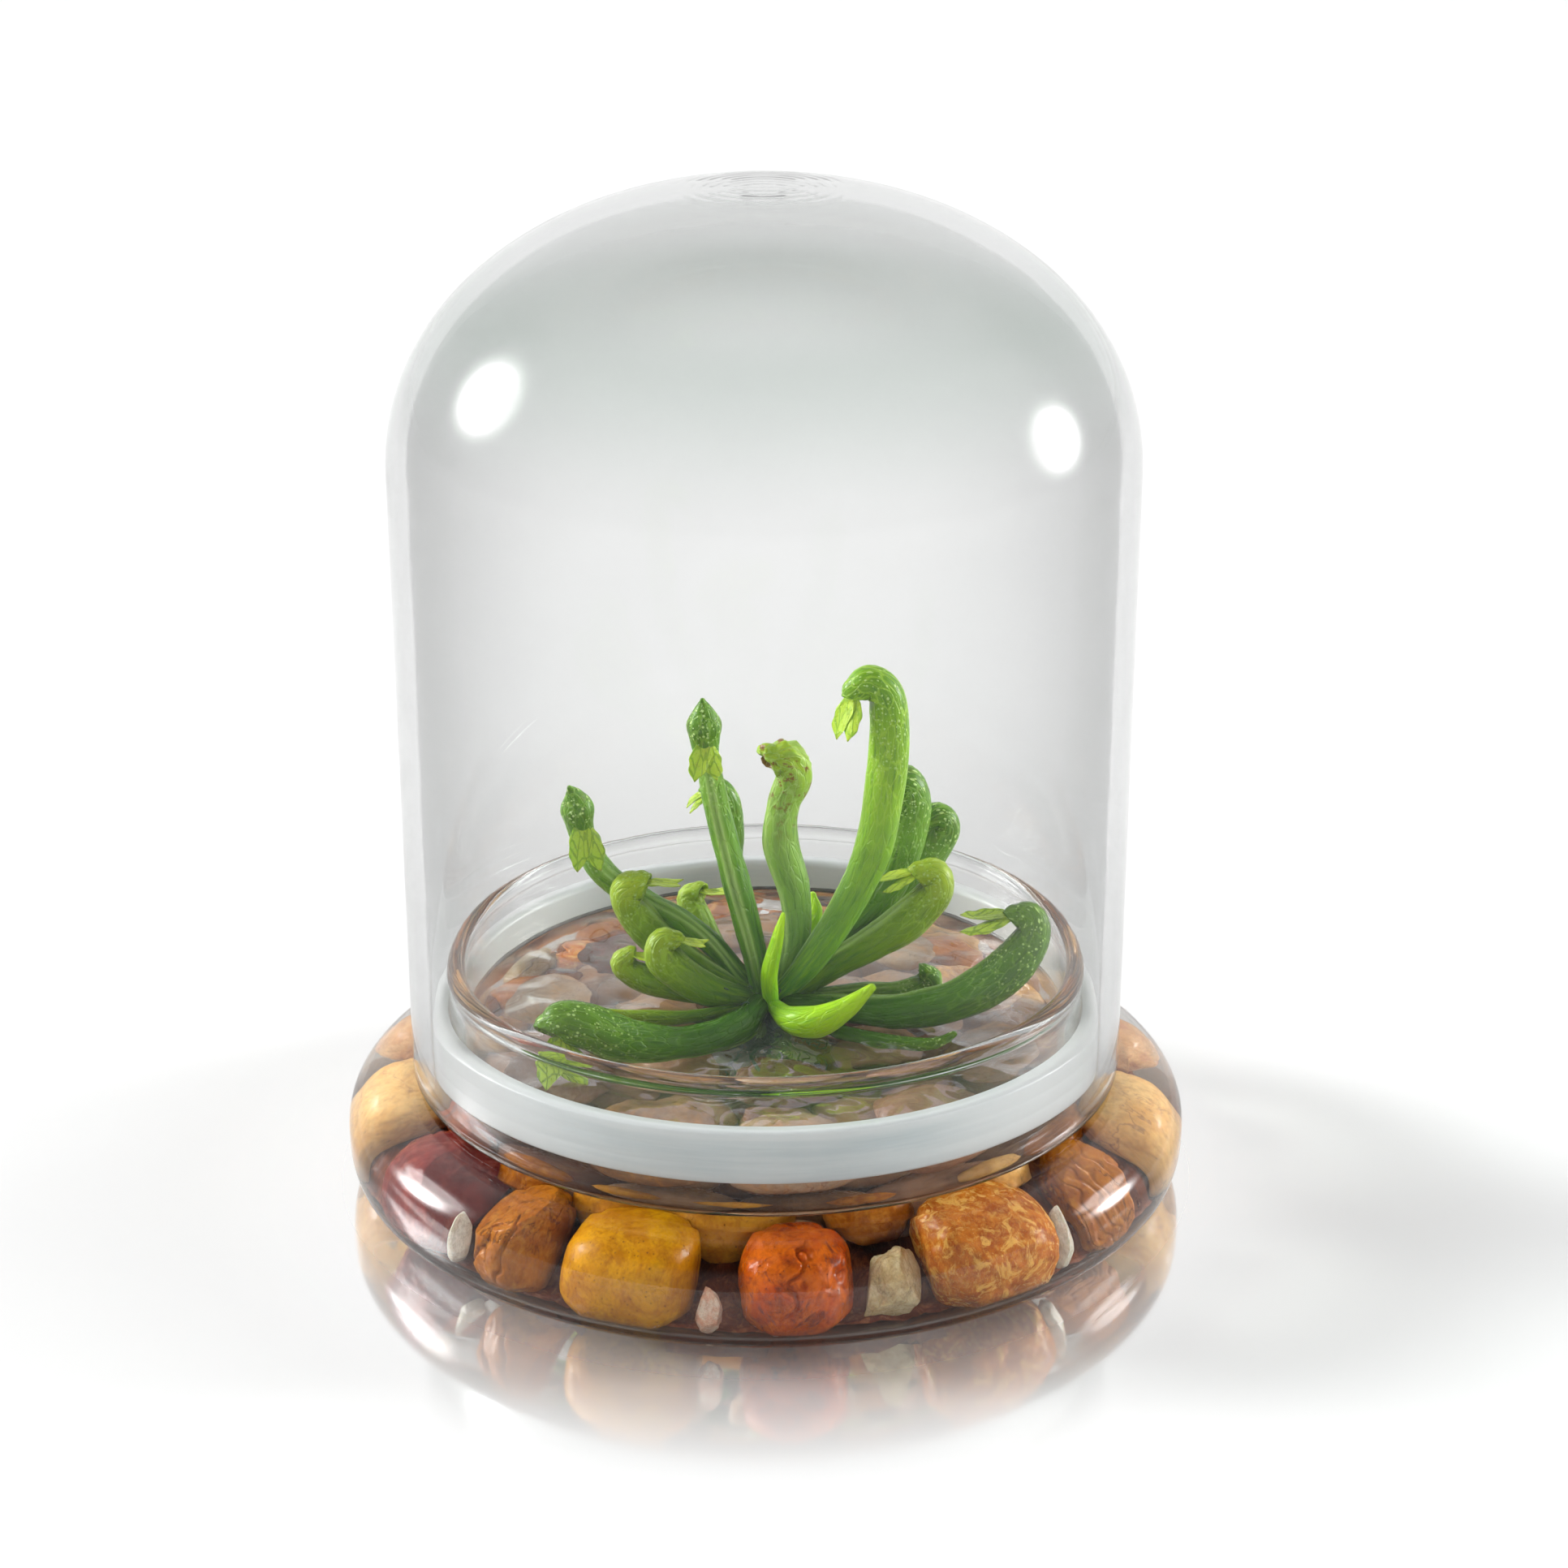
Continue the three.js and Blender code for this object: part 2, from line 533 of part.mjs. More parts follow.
/** The water fills the bowl round everything that stands in it. */
function waterSolid(inIt) {
  const full = turned([...cavityProfile(GAP, WATER_Z), point(0, WATER_Z)]);
  const stones = [...OUTER_PEBBLES, ...UPPER_PEBBLES, ...CHIPS].map((row) => pebbleSolid(row, GAP));
  // The little water between the hidden pebbles is left out, so the bed is cut away as one round heap.
  const heap = turned([
    point(0, 0), point(BED_RADIUS, 0), point(BED_RADIUS, BED_TOP_Z), point(BED_CROWN_RADIUS, BED_TOP_Z),
    point(BED_CROWN_RADIUS, BED_CROWN_Z), point(0, BED_CROWN_Z),
  ]);
  return afterCut(full.subtract(wasm.Manifold.union([...stones, heap, inIt])));
}

// ---- Assembly ----

const plant = plantPieces();

const dome = new THREE.Group();
dome.add(piece("glass_dome", domeSolid(), "glass"));

const base = new THREE.Group();
base.add(
  piece("glass_bowl", bowlSolid(), "glass"),
  piece("seal_ring", sealSolid(), "silicone"),
  piece("water", waterSolid(plant.taken), "water"),
  piece("pebble_bed", wasm.Manifold.union(pebbleBedRows().map((row) => pebbleSolid(row))), "brown"),
  ...OUTER_PEBBLES.map((row, i) => piece(`outer_pebble_${i + 1}`, pebbleSolid(row), row.look)),
  ...UPPER_PEBBLES.map((row, i) => piece(`upper_pebble_${i + 1}`, pebbleSolid(row), row.look)),
  ...CHIPS.map((row, i) => piece(`chip_${i + 1}`, pebbleSolid(row), row.look)),
  ...plant.pieces
);

const terrarium = new THREE.Group();
terrarium.add(base, dome);

export default terrarium;
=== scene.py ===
"""A cobra-lily pitcher plant in a water-filled glass bowl of pebbles, under a lift-off glass dome."""
import logging
import math
from dataclasses import dataclass, field, replace
from enum import Enum
from typing import Dict, List, Optional, Protocol, Sequence, Tuple, Union

import bmesh
import bpy
import numpy as np
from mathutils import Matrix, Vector


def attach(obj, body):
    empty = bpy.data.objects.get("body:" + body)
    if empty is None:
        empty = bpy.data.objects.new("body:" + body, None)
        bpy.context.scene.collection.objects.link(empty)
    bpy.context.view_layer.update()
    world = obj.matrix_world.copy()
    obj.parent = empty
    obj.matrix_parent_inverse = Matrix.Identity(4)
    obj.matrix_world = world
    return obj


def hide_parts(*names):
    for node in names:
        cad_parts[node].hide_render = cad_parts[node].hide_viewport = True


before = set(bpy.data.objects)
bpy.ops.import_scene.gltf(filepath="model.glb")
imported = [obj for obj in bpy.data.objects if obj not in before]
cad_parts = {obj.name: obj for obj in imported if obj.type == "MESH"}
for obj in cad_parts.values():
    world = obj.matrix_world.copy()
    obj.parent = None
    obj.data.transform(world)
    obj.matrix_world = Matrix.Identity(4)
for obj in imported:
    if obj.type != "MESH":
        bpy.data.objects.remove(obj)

log = logging.getLogger("terrarium")

MM = 0.001
TABLE_Z = -0.05 * MM  # the floor lies just clear of the bowl's flat underside
BASE = "base"
DOME = "dome"

Colour = Tuple[float, float, float]
Socket = bpy.types.NodeSocket
Tree = bpy.types.NodeTree
Piece = bpy.types.Object
Material = bpy.types.Material
Faces = List[Tuple[int, ...]]
Outline = List[Tuple[float, float]]
Feed = Union[Socket, bpy.types.Node, float, int, Sequence[float]]
Rows = Sequence[Sequence[float]]


# ---- Shapes made of points, in millimetres ----


class Relief:
    """Smooth random ups and downs in space, the same on every run."""

    def __init__(self, seed: int, wavelength: float, waves: int = 28) -> None:
        """Draws the waves.

        Args:
            seed: picks the pattern.
            wavelength: the usual distance from one rise to the next.
            waves: how many plane waves are added up.
        """
        draw = np.random.default_rng(seed)
        way = draw.normal(size=(waves, 3))
        way /= np.linalg.norm(way, axis=1)[:, None]
        self.way = way * (2 * math.pi / wavelength) * draw.uniform(0.6, 1.45, size=(waves, 1))
        self.phase = draw.uniform(0, 2 * math.pi, size=waves)
        self.share = math.sqrt(2 / waves)

    def at(self, points: np.ndarray) -> np.ndarray:
        """The relief's height at each point, mostly between -1.5 and 1.5.

        Args:
            points: an array of x, y, z rows.

        Returns:
            One number for each row.
        """
        return self.share * np.cos(points @ self.way.T + self.phase).sum(axis=1)


def smooth_step(value: np.ndarray, low: float, high: float) -> np.ndarray:
    """Rises smoothly from 0 at low to 1 at high.

    Args:
        value: the numbers to map.
        low: where it leaves 0.
        high: where it reaches 1.

    Returns:
        Numbers from 0 to 1.
    """
    t = np.clip((value - low) / (high - low), 0, 1)
    return t * t * (3 - 2 * t)


def unit(vectors: np.ndarray) -> np.ndarray:
    """The same vectors, each one unit long."""
    return vectors / np.maximum(np.linalg.norm(vectors, axis=-1, keepdims=True), 1e-12)


def volume_of(points: np.ndarray, faces: Faces) -> float:
    """The volume inside closed faces, negative if they point inwards.

    Args:
        points: the corners.
        faces: rows of corner numbers.

    Returns:
        The signed volume.
    """
    total = 0.0
    for size in {len(f) for f in faces}:
        same = np.array([f for f in faces if len(f) == size])
        first = points[same[:, 0]]
        for k in range(1, size - 1):
            second, third = points[same[:, k]], points[same[:, k + 1]]
            total += float(np.einsum("ij,ij->i", first, np.cross(second, third)).sum()) / 6
    return total


def solid(name: str, points: np.ndarray, faces: Faces) -> Piece:
    """A smooth closed piece with its faces pointing outwards.

    Args:
        name: the piece's name.
        points: its corners, in millimetres.
        faces: rows of corner numbers.

    Returns:
        The piece, at the origin.
    """
    mesh = bpy.data.meshes.new(name)
    mesh.from_pydata((points * MM).tolist(), [], faces)
    if volume_of(points, faces) < 0:
        mesh.flip_normals()
    mesh.polygons.foreach_set("use_smooth", [True] * len(mesh.polygons))
    mesh.update()
    piece = bpy.data.objects.new(name, mesh)
    bpy.context.scene.collection.objects.link(piece)
    return piece


def keep_values(piece: Piece, name: str, values: np.ndarray) -> None:
    """Stores a number or a vector at each corner of a piece for its material.

    Args:
        piece: the piece.
        name: what its material calls the values.
        values: one number or one vector for each corner.
    """
    flat = values.ndim == 1
    made = piece.data.attributes.new(name, "FLOAT" if flat else "FLOAT_VECTOR", "POINT")
    made.data.foreach_set("value" if flat else "vector", values.astype(np.float32).ravel())


def turned_points(profile: Rows, sides: int, looped: bool) -> Tuple[np.ndarray, Faces]:
    """Turns a profile of radius and height about the upright axis.

    Args:
        profile: rows of radius and height; a radius of 0 makes a single pole point.
        sides: facets round the turn.
        looped: whether the last row joins the first.

    Returns:
        The corners and the faces.
    """
    angle = np.arange(sides) * (2 * math.pi / sides)
    cos, sin = np.cos(angle), np.sin(angle)
    points, starts = [], []
    count = 0
    for radius, z in profile:
        starts.append((count, radius < 1e-6))
        if radius < 1e-6:
            points.append(np.array([[0.0, 0.0, z]]))
            count += 1
        else:
            points.append(np.column_stack([radius * cos, radius * sin, np.full(sides, z)]))
            count += sides
    faces: Faces = []
    pairs = list(zip(starts[:-1], starts[1:])) + ([(starts[-1], starts[0])] if looped else [])
    for (a, a_pole), (b, b_pole) in pairs:
        for i in range(sides):
            j = (i + 1) % sides
            if a_pole:
                faces.append((a, b + i, b + j))
            elif b_pole:
                faces.append((a + i, b, a + j))
            else:
                faces.append((a + i, b + i, b + j, a + j))
    return np.vstack(points), faces


def super_quarter(
    radius: float, z: float, across: float, up: float, power: float, steps: int
) -> Outline:
    """A quarter of a superellipse, from its side to its top or bottom.

    Args:
        radius: the radius of its centre.
        z: the height of its centre.
        across: its reach outwards.
        up: its reach upwards, or downwards if negative.
        power: its squareness; 2 is a plain ellipse.
        steps: pieces along it.

    Returns:
        Rows of radius and height.
    """
    rows = []
    for i in range(steps + 1):
        turn = i / steps * math.pi / 2
        cos, sin = max(math.cos(turn), 0.0), math.sin(turn)
        rows.append((radius + across * cos ** (2 / power), z + up * sin ** (2 / power)))
    return rows


def arc(radius: float, z: float, size: float, start: float, end: float, steps: int) -> Outline:
    """Part of a circle, as rows of radius and height.

    Args:
        radius: the radius of its centre.
        z: the height of its centre.
        size: the circle's own radius.
        start: the first angle, in half turns from outwards.
        end: the last angle, in half turns.
        steps: pieces along it.

    Returns:
        Rows of radius and height.
    """
    turns = np.linspace(start, end, steps + 1) * math.pi
    return [(radius + size * math.cos(t), z + size * math.sin(t)) for t in turns]


def between(low: float, high: float, step: float) -> np.ndarray:
    """Evenly spaced numbers from low to high, about a step apart."""
    return np.linspace(low, high, max(2, int(round(abs(high - low) / step)) + 1))


# ---- Nodes ----


class Shade:
    """Adds nodes to one node tree and joins them up."""

    def __init__(self, tree: Tree) -> None:
        """Starts on a tree."""
        self.tree = tree

    def node(self, kind: str, **settings: object) -> bpy.types.Node:
        """Adds a node.

        Args:
            kind: the node's type.
            settings: properties to set on it.

        Returns:
            The node.
        """
        made = self.tree.nodes.new(kind)
        for key, value in settings.items():
            setattr(made, key, value)
        return made

    def fed(self, kind: str, feeds: Dict[Union[str, int], object], **settings: object) -> bpy.types.Node:
        """Adds a node and feeds its inputs.

        Args:
            kind: the node's type.
            feeds: what goes to each input, by name or number.
            settings: properties to set on it.

        Returns:
            The node.
        """
        made = self.node(kind, **settings)
        for key, value in feeds.items():
            self.put(made.inputs[key], value)
        return made

    def put(self, socket: Socket, value: Feed) -> None:
        """Joins a socket to another or sets its own value.

        Args:
            socket: the input.
            value: an output to join to it, a node whose first output is joined, or a plain value.
        """
        if isinstance(value, bpy.types.Node):
            value = value.outputs[0]
        if isinstance(value, Socket):
            self.tree.links.new(value, socket)
        elif isinstance(value, (int, float)):
            socket.default_value = value
        elif socket.type == "RGBA":
            socket.default_value = (*value[:3], 1)
        else:
            socket.default_value = value

    def math(self, operation: str, first: Feed, second: Feed = 0.0, clamp: bool = False) -> Socket:
        """One step of arithmetic.

        Args:
            operation: the Math node's operation.
            first: its first number.
            second: its second number.
            clamp: whether the result is held between 0 and 1.

        Returns:
            The result.
        """
        made = self.fed("ShaderNodeMath", {0: first, 1: second}, operation=operation, use_clamp=clamp)
        return made.outputs[0]

    def times(self, first: Feed, second: Feed, clamp: bool = False) -> Socket:
        """The product of two numbers."""
        return self.math("MULTIPLY", first, second, clamp)

    def plus(self, first: Feed, second: Feed) -> Socket:
        """The sum of two numbers."""
        return self.math("ADD", first, second)

    def less(self, first: Feed, second: Feed) -> Socket:
        """The first number less the second."""
        return self.math("SUBTRACT", first, second)

    def apart(self, vector: Feed) -> Sequence[Socket]:
        """The three parts of a vector."""
        return self.fed("ShaderNodeSeparateXYZ", {0: vector}).outputs

    def vector(self, operation: str, first: Feed, second: Feed = (0, 0, 0)) -> Socket:
        """One step of vector arithmetic.

        Args:
            operation: the Vector Math node's operation.
            first: its first vector.
            second: its second vector.

        Returns:
            The resulting vector, or number for a dot product.
        """
        made = self.fed("ShaderNodeVectorMath", {0: first, 1: second}, operation=operation)
        return made.outputs["Value" if operation in ("DOT_PRODUCT", "LENGTH") else "Vector"]

    def mix(self, factor: Feed, first: Feed, second: Feed, blend: str = "MIX") -> Socket:
        """Blends two colours.

        Args:
            factor: how much of the second.
            first: the first colour.
            second: the second colour.
            blend: the Mix node's blend type.

        Returns:
            The blended colour.
        """
        feeds = {0: factor, 6: first, 7: second}
        made = self.fed("ShaderNodeMix", feeds, data_type="RGBA", blend_type=blend, clamp_factor=True)
        return made.outputs[2]

    def noise(
        self, vector: Feed, scale: Feed, detail: float = 3, rough: float = 0.5, warp: float = 0
    ) -> Socket:
        """Cloudy noise from 0 to 1.

        Args:
            vector: where it is read.
            scale: repeats per metre.
            detail: how many finer layers it has.
            rough: how strong the finer layers are.
            warp: how much it is distorted.

        Returns:
            The noise.
        """
        feeds = {"Vector": vector, "Scale": scale, "Detail": detail, "Roughness": rough, "Distortion": warp}
        return self.fed("ShaderNodeTexNoise", feeds).outputs["Fac"]

    def cells(self, vector: Feed, scale: Feed, feature: str = "F1", random: float = 1) -> Socket:
        """Distance to the nearest cell point or cell edge.

        Args:
            vector: where it is read.
            scale: cells per metre.
            feature: the Voronoi node's feature.
            random: how irregular the cells are.

        Returns:
            The distance.
        """
        feeds = {"Vector": vector, "Scale": scale, "Randomness": random}
        return self.fed("ShaderNodeTexVoronoi", feeds, feature=feature).outputs["Distance"]

    def span(self, value: Feed, low: Feed, high: Feed, first: Feed = 0.0, second: Feed = 1.0) -> Socket:
        """Maps low to first and high to second, smoothly.

        Args:
            value: the number to map.
            low: where first is reached.
            high: where second is reached.
            first: the result at low.
            second: the result at high.

        Returns:
            The mapped number.
        """
        made = self.node("ShaderNodeMapRange", interpolation_type="SMOOTHSTEP")
        for socket, feed in zip(made.inputs, (value, low, high, first, second)):
            self.put(socket, feed)
        return made.outputs[0]

    def ramp(self, value: Feed, stops: Sequence[Tuple[float, Colour]], step: str = "LINEAR") -> Socket:
        """A colour that changes along a number.

        Args:
            value: the number, from 0 to 1.
            stops: rows of place and colour.
            step: the ramp's interpolation.

        Returns:
            The colour.
        """
        made = self.node("ShaderNodeValToRGB")
        band = made.color_ramp
        band.interpolation = step
        while len(band.elements) < len(stops):
            band.elements.new(0.5)
        for element, (place, colour) in zip(band.elements, stops):
            element.position = place
            element.color = (*colour, 1)
        self.put(made.inputs[0], value)
        return made.outputs[0]

    def stored(self, name: str, output: str = "Fac") -> Socket:
        """Values that a piece stores at its corners.

        Args:
            name: what the piece calls them.
            output: "Fac" for a number or "Vector" for a vector.

        Returns:
            The values.
        """
        return self.node("ShaderNodeAttribute", attribute_name=name).outputs[output]

    def place(self) -> Socket:
        """Object coordinates, in metres."""
        return self.node("ShaderNodeTexCoord").outputs["Object"]

    def group(self, group: Tree, **feeds: Feed) -> bpy.types.Node:
        """Places a node group.

        Args:
            group: the group.
            feeds: its inputs by name, with _ for a space.

        Returns:
            The group's node.
        """
        made = self.node("ShaderNodeGroup", node_tree=group)
        for key, feed in feeds.items():
            self.put(made.inputs[key.replace("_", " ")], feed)
        return made


class GroupMaker:
    """Builds one node group with named inputs and outputs."""

    def __init__(
        self, name: str, inputs: Dict[str, str], outputs: Dict[str, str], kind: str = "ShaderNodeTree"
    ) -> None:
        """Makes the empty group.

        Args:
            name: the group's name.
            inputs: socket types by input name.
            outputs: socket types by output name.
            kind: the tree's type, for surfaces or for geometry.
        """
        self.tree = bpy.data.node_groups.new(name, kind)
        for way, sockets in (("INPUT", inputs), ("OUTPUT", outputs)):
            for key, holds in sockets.items():
                self.tree.interface.new_socket(key, in_out=way, socket_type="NodeSocket" + holds)
        self.shade = Shade(self.tree)
        self.given = self.shade.node("NodeGroupInput").outputs
        self.result = self.shade.node("NodeGroupOutput").inputs

    def out(self, name: str, feed: Feed) -> None:
        """Joins a value to one of the group's outputs."""
        self.shade.put(self.result[name], feed)


def stone_figure_group() -> Tree:
    """The colour and relief of a water-worn stone: clouds, patches, veins, pits and a darker skin.

    Returns:
        The node group.
    """
    made = GroupMaker(
        "StoneFigure",
        {
            "Vector": "Vector", "Main": "Color", "Second": "Color", "Patch": "Color", "Vein": "Color",
            "Scale": "Float", "Patch Amount": "Float", "Vein Amount": "Float", "Pit Amount": "Float",
        },
        {"Color": "Color", "Height": "Float", "Dull": "Float"},
    )
    s, given = made.shade, made.given
    at = given["Vector"]
    clouds = s.noise(at, given["Scale"], 6, 0.68, 0.5)
    colour = s.mix(s.span(clouds, 0.38, 0.62), given["Main"], given["Second"])
    apart = s.vector("ADD", at, (0.09, 0.02, 0.05))
    wash = s.noise(apart, s.times(given["Scale"], 2.6), 6, 0.75, 0.8)
    colour = s.mix(s.span(wash, 0.46, 0.66, 0.0, 0.55), colour, given["Patch"])
    beside = s.vector("ADD", at, (0.031, 0.017, 0.043))
    blotch = s.noise(beside, s.times(given["Scale"], 0.8), 6, 0.7, 1.1)
    edge = s.less(0.72, s.times(given["Patch Amount"], 0.34))
    patches = s.span(blotch, edge, s.plus(edge, 0.09))
    colour = s.mix(s.times(patches, 0.85), colour, given["Patch"])
    wobble = s.noise(at, s.times(given["Scale"], 1.6), 4, 0.6, 0.6)
    line = s.math("ABSOLUTE", s.less(wobble, 0.5))
    thin = s.times(given["Vein Amount"], 0.022)
    veins = s.less(1.0, s.span(line, 0.0, s.plus(thin, 0.0005)))
    gate = s.span(s.noise(at, s.times(given["Scale"], 0.7), 1), 0.42, 0.6)
    veins = s.times(s.times(veins, gate), given["Vein Amount"], clamp=True)
    colour = s.mix(s.times(veins, 0.8), colour, given["Vein"])
    grain = s.noise(at, s.times(given["Scale"], 14), 3, 0.6)
    colour = s.mix(s.span(grain, 0.35, 0.75, 0.0, 0.22), colour, (0.06, 0.03, 0.015), "MULTIPLY")
    freckle = s.span(s.cells(at, s.times(given["Scale"], 11)), 0.10, 0.24, 1.0, 0.0)
    freckle = s.times(freckle, s.span(grain, 0.5, 0.6))
    freckle = s.times(freckle, given["Pit Amount"], clamp=True)
    colour = s.mix(s.times(freckle, 0.7), colour, (0.05, 0.022, 0.012))
    low = s.plus(s.times(veins, 0.5), s.times(freckle, 0.5))
    height = s.less(s.plus(s.times(clouds, 0.5), s.times(grain, 0.16)), low)
    made.out("Color", colour)
    made.out("Height", height)
    made.out("Dull", s.plus(s.times(patches, 0.5), s.times(grain, 0.5)))
    return made.tree


def net_vein_group() -> Tree:
    """A fine net of veins that runs along a leaf.

    Returns:
        The node group.
    """
    made = GroupMaker(
        "NetVeins", {"Vector": "Vector", "Scale": "Float", "Stretch": "Float"},
        {"Net": "Float", "Streak": "Float"},
    )
    s, given = made.shade, made.given
    split = s.apart(given["Vector"])
    drawn = s.fed(
        "ShaderNodeCombineXYZ", {0: split[0], 1: split[1], 2: s.times(split[2], given["Stretch"])},
    )
    bent = s.noise(drawn, given["Scale"], 2)
    shift = s.times(s.less(bent, 0.5), 0.0009)
    moved = s.vector("ADD", drawn, shift)
    edge = s.cells(moved, given["Scale"], "DISTANCE_TO_EDGE")
    made.out("Net", s.span(edge, 0.015, 0.11, 1.0, 0.0))
    long = s.vector("MULTIPLY", given["Vector"], (1, 1, 0.07))
    made.out("Streak", s.noise(long, s.times(given["Scale"], 2.2), 3, 0.6))
    return made.tree


def pale_spot_group() -> Tree:
    """Round see-through windows of different sizes, scattered over a hood.

    Returns:
        The node group.
    """
    made = GroupMaker(
        "PaleSpots", {"Vector": "Vector", "Scale": "Float", "Size": "Float"}, {"Spots": "Float"}
    )
    s, given = made.shade, made.given
    large = s.cells(given["Vector"], given["Scale"])
    small = s.cells(s.vector("ADD", given["Vector"], (0.02, 0.05, 0.01)), s.times(given["Scale"], 1.7))
    soft = s.plus(given["Size"], 0.13)
    first = s.span(large, given["Size"], soft, 1.0, 0.0)
    second = s.span(small, given["Size"], soft, 1.0, 0.0)
    choose = s.span(s.noise(given["Vector"], s.times(given["Scale"], 0.6), 1), 0.42, 0.55)
    made.out("Spots", s.math("MAXIMUM", first, s.times(second, choose)))
    return made.tree


def soft_relief_group() -> Tree:
    """Two sizes of soft relief, for glass, silicone, roots and leaves.

    Returns:
        The node group.
    """
    made = GroupMaker(
        "SoftRelief", {"Vector": "Vector", "Broad": "Float", "Fine": "Float", "Fine Share": "Float"},
        {"Height": "Float"},
    )
    s, given = made.shade, made.given
    broad = s.noise(given["Vector"], given["Broad"], 2, 0.4)
    fine = s.times(s.noise(given["Vector"], given["Fine"], 3, 0.6), given["Fine Share"])
    made.out("Height", s.plus(broad, fine))
    return made.tree


# ---- Finishes ----


class Finish(Protocol):
    """What every finish has: a name, and a way to build its material."""

    name: str

    def material(self, groups: "Groups") -> Material:
        """Builds the material."""


class Groups:
    """The node groups that the finishes share, and the materials made so far, each built once."""

    def __init__(self) -> None:
        """Builds them."""
        self.stone = stone_figure_group()
        self.veins = net_vein_group()
        self.spots = pale_spot_group()
        self.relief = soft_relief_group()
        self.made: Dict[str, Material] = {}

    def dress(self, piece: Piece, finish: Finish) -> None:
        """Gives a piece a finish, whose material is built the first time that it is asked for."""
        if finish.name not in self.made:
            self.made[finish.name] = finish.material(self)
        piece.data.materials.append(self.made[finish.name])


class Surface:
    """A material with one Principled shader, and what its nodes feed."""

    def __init__(self, name: str) -> None:
        """Makes the material."""
        self.material = bpy.data.materials.new(name)
        self.material.use_nodes = True
        self.shade = Shade(self.material.node_tree)
        nodes = self.material.node_tree.nodes
        self.skin = nodes["Principled BSDF"]
        self.output = nodes["Material Output"]

    def set(self, **values: Feed) -> None:
        """Sets or joins inputs of the shader by name, with _ for a space."""
        for key, value in values.items():
            self.shade.put(self.skin.inputs[key.replace("_", " ")], value)

    def bump(self, height: Feed, distance: float, strength: float = 1.0) -> None:
        """Raises the surface by a height.

        Args:
            height: the relief, about 0 to 1.
            distance: what 1 stands for, in metres.
            strength: how much of it shows.
        """
        feeds = {"Strength": strength, "Distance": distance, "Height": height}
        self.set(Normal=self.shade.fed("ShaderNodeBump", feeds))


@dataclass(frozen=True)
class ClearFinish:
    """Something that is looked through: glass or water, with painted shade towards its silhouettes."""

    name: str
    tint: Colour
    cloud_and_edge_shade: Colour
    bend: float
    wave: float
    wavelength: float
    cap_shade_tint: Optional[Colour] = None  # a band of painted shade across the cap, for the dark arch that reflections make there
    cap_shade_from: float = 0.118
    cap_shade_to: float = 0.138
    cap_shade_fade: Tuple[float, float] = (0.136, 0.147)
    cap_zone: Tuple[float, float] = (0.112, 0.136)
    cap_edge_shade: Colour = (0.58, 0.60, 0.59)
    sheen: float = 0.45
    edge_power: float = 2.0
    shade_tint: Colour = (0.97, 0.98, 0.975)
    coat_zone: Optional[Tuple[float, float]] = None  # the heights between which a bright skin sets in
    coat_bend: float = 1.7
    coat_rough: float = 0.02

    def material(self, groups: Groups) -> Material:
        """Builds the material.

        Args:
            groups: the shared node groups.

        Returns:
            The material.
        """
        made = Surface(self.name)
        s = made.shade
        at = s.place()
        clouds = s.noise(at, 1 / (3 * self.wavelength), 2)
        colour = s.mix(s.times(clouds, 0.12), self.tint, self.cloud_and_edge_shade)
        # Painted shade: a darker band across the dome's cap.
        if self.cap_shade_tint:
            parts = s.apart(at)
            band = s.span(parts[2], self.cap_shade_from, self.cap_shade_to)
            band = s.times(band, s.span(parts[2], *self.cap_shade_fade, 1.0, 0.0))
            colour = s.mix(band, colour, self.cap_shade_tint)
        # Painted shade: the colour darkens towards the silhouettes, less so across the dome's cap.
        slant = s.node("ShaderNodeLayerWeight").outputs["Facing"]
        edge = self.cloud_and_edge_shade
        if self.cap_shade_tint:
            edge = s.mix(s.span(parts[2], *self.cap_zone), self.cloud_and_edge_shade, self.cap_edge_shade)
        colour = s.mix(s.math("POWER", slant, self.edge_power), colour, edge)
        made.set(
            Base_Color=colour, Metallic=0.0, Roughness=0.0, IOR=self.bend, Transmission_Weight=1.0,
            Specular_Tint=(self.sheen,) * 3,
        )
        if self.coat_zone:
            coat = s.span(s.apart(at)[2], *self.coat_zone)
            made.set(Coat_Weight=coat, Coat_Roughness=self.coat_rough, Coat_IOR=self.coat_bend)
        relief = s.group(
            groups.relief, Vector=at, Broad=1 / self.wavelength, Fine=4 / self.wavelength, Fine_Share=0.12
        )
        made.bump(relief, self.wave)
        clear = s.fed("ShaderNodeBsdfTransparent", {0: (*self.shade_tint, 1)})
        path = s.node("ShaderNodeLightPath")
        soft = s.math("MAXIMUM", path.outputs["Is Shadow Ray"], path.outputs["Is Diffuse Ray"])
        blend = s.fed("ShaderNodeMixShader", {0: soft, 1: made.skin, 2: clear})
        s.put(made.output.inputs[0], blend)
        return made.material


GLASS_BEND = 1.49
WATER_BEND = 1.333
# The dome's edge colours and its cap band are painted shade.
DOME_GLASS = ClearFinish(
    "DomeGlass", (0.885, 0.888, 0.887), (0.16, 0.168, 0.164), GLASS_BEND, 0.03 * MM, 22 * MM,
    cap_shade_tint=(0.68, 0.72, 0.695), sheen=0.27, edge_power=1.7,
)
BOWL_GLASS = ClearFinish(
    "BowlGlass", (0.97, 0.972, 0.97), (0.5, 0.5, 0.49), GLASS_BEND, 0.03 * MM, 18 * MM, sheen=0.4
)
WATER = ClearFinish(
    "StillWater", (0.955, 0.945, 0.93), (0.7, 0.66, 0.6), WATER_BEND, 0.05 * MM, 6 * MM,
    sheen=1.0, shade_tint=(0.97, 0.965, 0.955), coat_zone=(25.0 * MM, 25.8 * MM),
)


